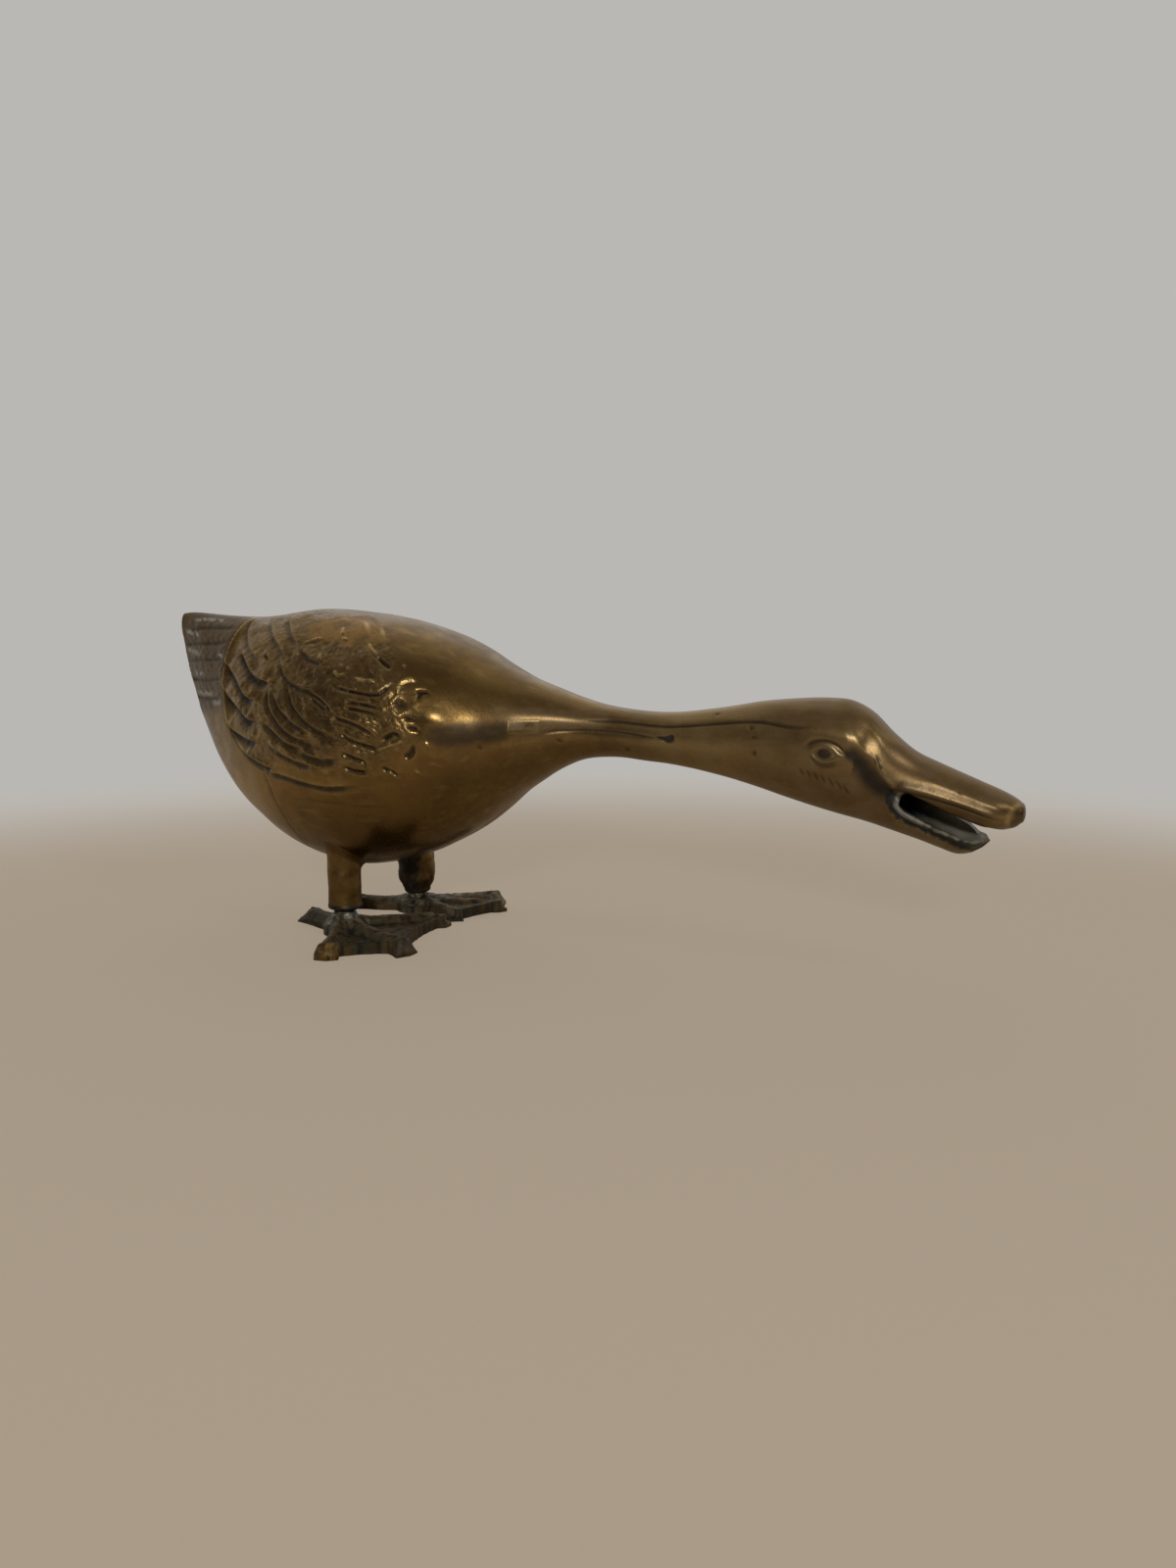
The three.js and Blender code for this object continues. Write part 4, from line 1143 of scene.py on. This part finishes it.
# Materials
class Nodes:
    """Shorthand for the nodes of one tree."""

    def __init__(self, tree):
        self.tree = tree

    def put(self, socket, value):
        if isinstance(value, bpy.types.NodeSocket):
            self.tree.links.new(value, socket)
        else:
            socket.default_value = value

    def make(self, kind, inputs, output=0, **settings):
        """A new node with its inputs and settings; returns one of its outputs."""
        node = self.tree.nodes.new("ShaderNode" + kind)
        for key, value in settings.items():
            setattr(node, key, value)
        for key, value in inputs.items():
            self.put(node.inputs[key], value)
        return node.outputs[output]

    def math(self, operation, *values):
        return self.make("Math", dict(enumerate(values)), operation=operation)

    def times(self, first, second):
        return self.math("MULTIPLY", first, second)

    def most(self, first, second):
        return self.math("MAXIMUM", first, second)

    def measure(self, operation, *vectors):
        return self.make("VectorMath", dict(enumerate(vectors)), "Value", operation=operation)

    def ramp(self, value, low, high, start=0.0, end=1.0):
        inputs = dict(enumerate((value, low, high, start, end)))
        return self.make("MapRange", inputs, "Result", interpolation_type="SMOOTHSTEP")

    def mix(self, share, first, second):
        return self.make("Mix", {0: share, 6: first, 7: second}, 2, data_type="RGBA")


class Material(Nodes):
    """Shorthand for one procedural material."""

    def __init__(self, name):
        self.data = bpy.data.materials.new(name)
        self.data.use_nodes = True
        super().__init__(self.data.node_tree)
        self.shader = self.tree.nodes["Principled BSDF"]
        self.place = self.make("TexCoord", {}, "Object")

    def paint(self, name):
        return self.make("Attribute", {}, "Fac", attribute_name=name)

    def noise(self, size, detail, roughness=0.55, stretch=(1, 1, 1)):
        """Noise with patches about size millimetres across."""
        at = self.make("Mapping", {"Vector": self.place, "Scale": stretch})
        inputs = {"Vector": at, "Scale": 1 / (size * MM), "Detail": detail, "Roughness": roughness}
        return self.make("TexNoise", inputs, "Fac")

    def layered(self, colour, *layers):
        """A colour under (share, colour) layers."""
        for share, layer in layers:
            colour = self.mix(share, colour, layer)
        return colour

    def bump(self, *layers):
        """Fine relief from (height, millimetres) layers."""
        normal = {}
        for height, depth in layers:
            inputs = {"Strength": 1.0, "Distance": depth * MM, "Height": height, **normal}
            normal = {"Normal": self.make("Bump", inputs)}
        return normal["Normal"]

    def finish(self, colour, metallic, roughness, normal):
        settings = {"Base Color": colour, "Metallic": metallic, "Roughness": roughness, "Normal": normal}
        for key, value in settings.items():
            self.put(self.shader.inputs[key], value)
        return self.data


def linear(red, green, blue):
    """A colour written as it looks on screen, 0 to 255."""
    values = np.array([red, green, blue]) / 255
    return (*np.where(values <= 0.04045, values / 12.92, ((values + 0.055) / 1.055) ** 2.4).tolist(), 1.0)


BRASS, FILLER, BROWN = linear(150, 120, 70), linear(154, 123, 73), linear(118, 92, 58)
WORN_AND_SHEEN, DULL, GREENISH = linear(208, 178, 116), linear(132, 112, 84), linear(138, 130, 96)
SOOT, CREVICE, COPPER = linear(54, 42, 28), linear(30, 23, 17), linear(164, 126, 74)
TAIL_GREY, CHALK_AND_LIGHT, LIP_PALE = linear(112, 96, 74), linear(186, 184, 176), linear(140, 134, 112)
MOUTH_GREY, MOUTH_DARK, THROAT = linear(72, 70, 62), linear(46, 46, 42), linear(22, 24, 30)
FOOT_DARK, FOOT_GREEN, FOOT_BROWN = linear(70, 63, 46), linear(94, 90, 70), linear(104, 84, 50)
FOOT_CREVICE, FOOT_WORN, FOOT_PALE = linear(40, 38, 34), linear(150, 132, 96), linear(138, 128, 104)
GOLD, SOLDER_GREY, SOLDER_DARK = linear(150, 120, 72), linear(150, 148, 132), linear(88, 84, 72)
LEG_BRASS, LEG_BROWN = linear(140, 114, 68), linear(96, 78, 52)
LEG_SOOT, LEG_GREY = linear(40, 34, 24), linear(72, 70, 60)


def brass_material(name, tint):
    m = Material(name)
    cloud, blotch, grain = m.noise(34, 3), m.noise(6, 5, 0.62), m.noise(0.8, 3)
    streak = m.noise(3, 4, 0.6, (0.12, 1, 1))
    patina = m.ramp(m.math("MULTIPLY_ADD", cloud, 0.6, m.times(blotch, 0.4)), 0.36, 0.66)
    recess = m.times(m.paint("recess"), m.ramp(blotch, 0.2, 0.6, 0.75, 1.0))
    wear = m.times(m.paint("wear"), m.ramp(grain, 0.25, 0.6, 0.55, 1.0))
    tail = m.times(m.paint("tail"), m.ramp(blotch, 0.2, 0.7, 1.0, 0.75))
    skin = m.times(m.paint("patina"), m.ramp(blotch, 0.3, 0.65, 0.7, 0.3))
    mottled = m.times(m.paint("wing"), m.ramp(m.noise(2.4, 5, 0.7), 0.46, 0.66, 0.0, 0.32))
    mouth, pale, chalk = m.paint("mouth"), m.paint("pale"), m.paint("chalk")
    # The worn colour also paints highlights and the crevice colour also paints shade. The throat colour is
    # painted shade deep in the bill. The chalk colour also paints glints and light inside the bill.
    colour = m.layered(
        tint,
        (m.times(patina, 0.8), BROWN),
        (m.times(m.ramp(streak, 0.5, 0.75), 0.25), WORN_AND_SHEEN),
        (skin, DULL),
        (m.times(m.paint("green"), 0.6), GREENISH),
        (mottled, SOOT),
        (m.paint("copper"), COPPER),
        (wear, WORN_AND_SHEEN),
        (tail, TAIL_GREY),
        (recess, CREVICE),
        (mouth, m.mix(m.ramp(blotch, 0.3, 0.7), MOUTH_GREY, MOUTH_DARK)),
        (m.times(mouth, recess), THROAT),
        (pale, LIP_PALE),
        (chalk, CHALK_AND_LIGHT),
    )
    dull = m.most(m.times(tail, 0.55), m.times(mouth, 0.8))
    dull = m.most(dull, m.most(m.times(recess, 0.6), chalk))
    dull = m.most(dull, m.times(skin, 0.6))
    metallic = m.math("SUBTRACT", 1.0, dull)
    roughness = m.math("MULTIPLY_ADD", blotch, 0.7, m.times(grain, 0.3))
    roughness = m.math("ADD", m.ramp(roughness, 0.3, 0.7, 0.2, 0.32), m.times(dull, 0.3))
    hammered = m.times(m.noise(1.7, 4, 0.6), m.paint("wing"))
    normal = m.bump((blotch, 0.05), (grain, 0.02), (streak, 0.012), (hammered, 0.22))
    return m.finish(colour, metallic, roughness, normal)


def foot_material():
    m = Material("foot_brass")
    cloud, blotch, grain = m.noise(11, 4), m.noise(2.6, 5, 0.65), m.noise(0.6, 3)
    gold = m.paint("gold")
    colour = m.layered(
        FOOT_DARK,
        (m.ramp(cloud, 0.4, 0.62), FOOT_BROWN),
        (m.ramp(blotch, 0.48, 0.72), FOOT_GREEN),
        (m.times(m.paint("recess"), 0.8), FOOT_CREVICE),
        (m.times(m.paint("wear"), 0.7), FOOT_WORN),
        (m.times(gold, m.ramp(blotch, 0.35, 0.6)), GOLD),
        (m.times(m.paint("pale"), m.ramp(blotch, 0.3, 0.6)), FOOT_PALE),
    )
    metallic = m.most(m.ramp(grain, 0.4, 0.7, 0.3, 0.55), m.times(gold, 0.9))
    roughness = m.ramp(blotch, 0.3, 0.7, 0.45, 0.68)
    return m.finish(colour, metallic, roughness, m.bump((blotch, 0.3), (grain, 0.1)))


def leg_material():
    m = Material("leg_brass")
    cloud, blotch, grain = m.noise(12, 4), m.noise(3, 5, 0.6), m.noise(0.7, 3)
    dark = m.times(m.paint("recess"), m.ramp(blotch, 0.2, 0.55, 0.7, 1.0))
    colour = m.layered(
        LEG_BRASS,
        (m.ramp(cloud, 0.38, 0.64), BROWN),
        (m.times(m.ramp(blotch, 0.52, 0.75), 0.6), LEG_BROWN),
        (dark, m.mix(m.ramp(blotch, 0.5, 0.65), LEG_SOOT, LEG_GREY)),
    )
    metallic = m.math("SUBTRACT", 1.0, m.times(dark, 0.6))
    roughness = m.math("ADD", m.ramp(blotch, 0.3, 0.7, 0.34, 0.48), m.times(dark, 0.15))
    return m.finish(colour, metallic, roughness, m.bump((blotch, 0.12), (grain, 0.04)))


def solder_material():
    m = Material("solder_grey")
    blotch, grain = m.noise(3, 5, 0.6), m.noise(0.7, 3)
    colour = m.mix(m.ramp(blotch, 0.42, 0.62), SOLDER_GREY, SOLDER_DARK)
    metallic, roughness = m.ramp(grain, 0.3, 0.7, 0.5, 0.8), m.ramp(blotch, 0.3, 0.7, 0.4, 0.62)
    return m.finish(colour, metallic, roughness, m.bump((blotch, 0.25), (grain, 0.06)))


# Pieces
brass, filler = brass_material("shell_brass", BRASS), brass_material("seam_brass", FILLER)
leg_brass, foot_brass, solder = leg_material(), foot_material(), solder_material()
for side, name in SIDE_NAMES.items():
    mirror = np.array([1, -side, 1])
    turn = slice(None, None, -side)
    table, faces, filling = half_shell(side)
    masks = dict(zip(MASKS, table[:, 3:].T))
    closed = np.concatenate([faces, filling])[:, turn]
    add_piece(f"{name}_half", f"{name}_shell", "polished_brass", brass, table[:, :3] * mirror, closed, masks)
    if side == RIGHT:
        points, faces, used = seam_strip(table[:, :3], filling)
        strip_masks = {key: np.tile(mask[used], 2) for key, mask in masks.items()}
        add_piece("seam_strip", "seam_braze", "braze", filler, points, faces, strip_masks)
    points, faces, masks = core_plug(side)
    add_piece(
        f"{name}_plug", f"{name}_core_plug", "polished_brass", brass, points * mirror, faces[:, turn], masks,
    )
    add_piece(f"{name}_leg_post", f"{name}_leg", "polished_brass", leg_brass, *leg_post(side))
    add_piece(f"{name}_leg_bead", f"{name}_leg_braze", "braze", leg_brass, *leg_bead(side))
    add_piece(f"{name}_webbed_foot", f"{name}_foot", "aged_brass", foot_brass, *webbed_foot(side), sharp=50)
    add_piece(f"{name}_solder_collar", f"{name}_foot_solder", "solder", solder, *solder_collar(side))

# Stage, light and camera
VIEW_TURN, VIEW_TILT = math.radians(22), math.radians(80)
AHEAD = Vector((-math.sin(VIEW_TURN), math.cos(VIEW_TURN), 0))
FLOOR_COLOUR, FLOOR_GLOW = linear(184, 170, 151), linear(192, 176, 156)
WALL_COLOUR, ROOM_DARK, ROOM_DIM = linear(186, 184, 180), linear(52, 48, 44), linear(112, 106, 98)
FLOOR_RADIUS, FLOOR_SIDES = 8, 64
LAMP_AIM = Vector((0, 0, 0.07))
# Each lamp's direction, distance, size, power and colour
LAMPS = {
    "key": ((0.30, -0.86, 0.42), 1.6, 0.2, 5.0, (1.0, 0.97, 0.92)),
    "back": ((-0.5, 1.0, 0.75), 2.0, 1.4, 1.5, (1.0, 0.98, 0.96)),
    "side": ((0.69, -0.24, 0.68), 1.6, 0.3, 1.5, (1.0, 0.97, 0.93)),
}


def make_floor():
    """A wide plain floor that turns into the wall's colour behind the goose and far off."""
    m = Material("floor_sheet")
    far = m.ramp(m.measure("DISTANCE", m.place, AHEAD * -0.25), 0.36, 0.66)
    m.finish(m.mix(far, FLOOR_COLOUR, WALL_COLOUR), 0.0, 0.9, m.bump((m.noise(1.2, 2), 0.03)))
    # The floor glows as painted light: fully far off, partly near the goose for camera rays, and for mirrored
    # rays only away from the goose, which leaves a painted shadow under it in reflections.
    glow = m.make("Emission", {"Color": m.mix(far, FLOOR_GLOW, WALL_COLOUR)})
    clear = m.ramp(m.measure("LENGTH", m.place), 0.06, 0.3, 0.0, 0.7)
    mirrored = m.times(m.make("LightPath", {}, "Is Glossy Ray"), clear)
    seen = m.math("ADD", mirrored, m.make("LightPath", {}, "Is Camera Ray"))
    share = m.times(m.ramp(far, 0.0, 1.0, 0.55, 1.0), seen)
    blend = m.make("MixShader", {0: share, 1: m.shader.outputs[0], 2: glow})
    m.put(m.tree.nodes["Material Output"].inputs["Surface"], blend)
    mesh = bpy.data.meshes.new("floor")
    angles = np.linspace(0, 2 * math.pi, FLOOR_SIDES, endpoint=False)
    ring = [(FLOOR_RADIUS * math.cos(a), FLOOR_RADIUS * math.sin(a), 0) for a in angles]
    mesh.from_pydata(ring, [], [list(range(FLOOR_SIDES))])
    mesh.materials.append(m.data)
    floor = add_object("floor", mesh)


def make_world():
    """A pale wall behind the goose and a dim room in front of it and above."""
    world = bpy.data.worlds.new("room")
    world.use_nodes = True
    bpy.context.scene.world = world
    w = Nodes(world.node_tree)
    way = w.make("TexCoord", {}, "Generated")
    facing = w.ramp(w.measure("DOT_PRODUCT", way, AHEAD), -0.25, 0.45)
    front = w.mix(w.ramp(w.make("SeparateXYZ", {0: way}, "Z"), 0.1, 0.7), ROOM_DARK, ROOM_DIM)
    room = w.mix(facing, front, WALL_COLOUR)
    shown = w.mix(w.make("LightPath", {}, "Is Camera Ray"), room, WALL_COLOUR)
    w.put(w.tree.nodes["Background"].inputs["Color"], shown)


def make_lamp(name, toward, distance, size, power, colour):
    data = bpy.data.lights.new(name, "AREA")
    data.shape = "DISK"
    data.size = size
    data.energy = power
    data.color = colour
    lamp = add_object(name, data)
    toward = Vector(toward).normalized()
    lamp.location = LAMP_AIM + toward * distance
    lamp.rotation_euler = toward.to_track_quat("Z", "Y").to_euler()


make_floor()
make_world()
for name, settings in LAMPS.items():
    make_lamp(name, *settings)
bpy.context.scene.view_settings.view_transform = "Standard"

camera_data = bpy.data.cameras.new("camera")
camera_data.lens = 27.05
camera = add_object("camera", camera_data)
camera.location = (0.1577, -0.35075, 0.1234)
camera.rotation_euler = (VIEW_TILT, 0, VIEW_TURN)
bpy.context.scene.camera = camera
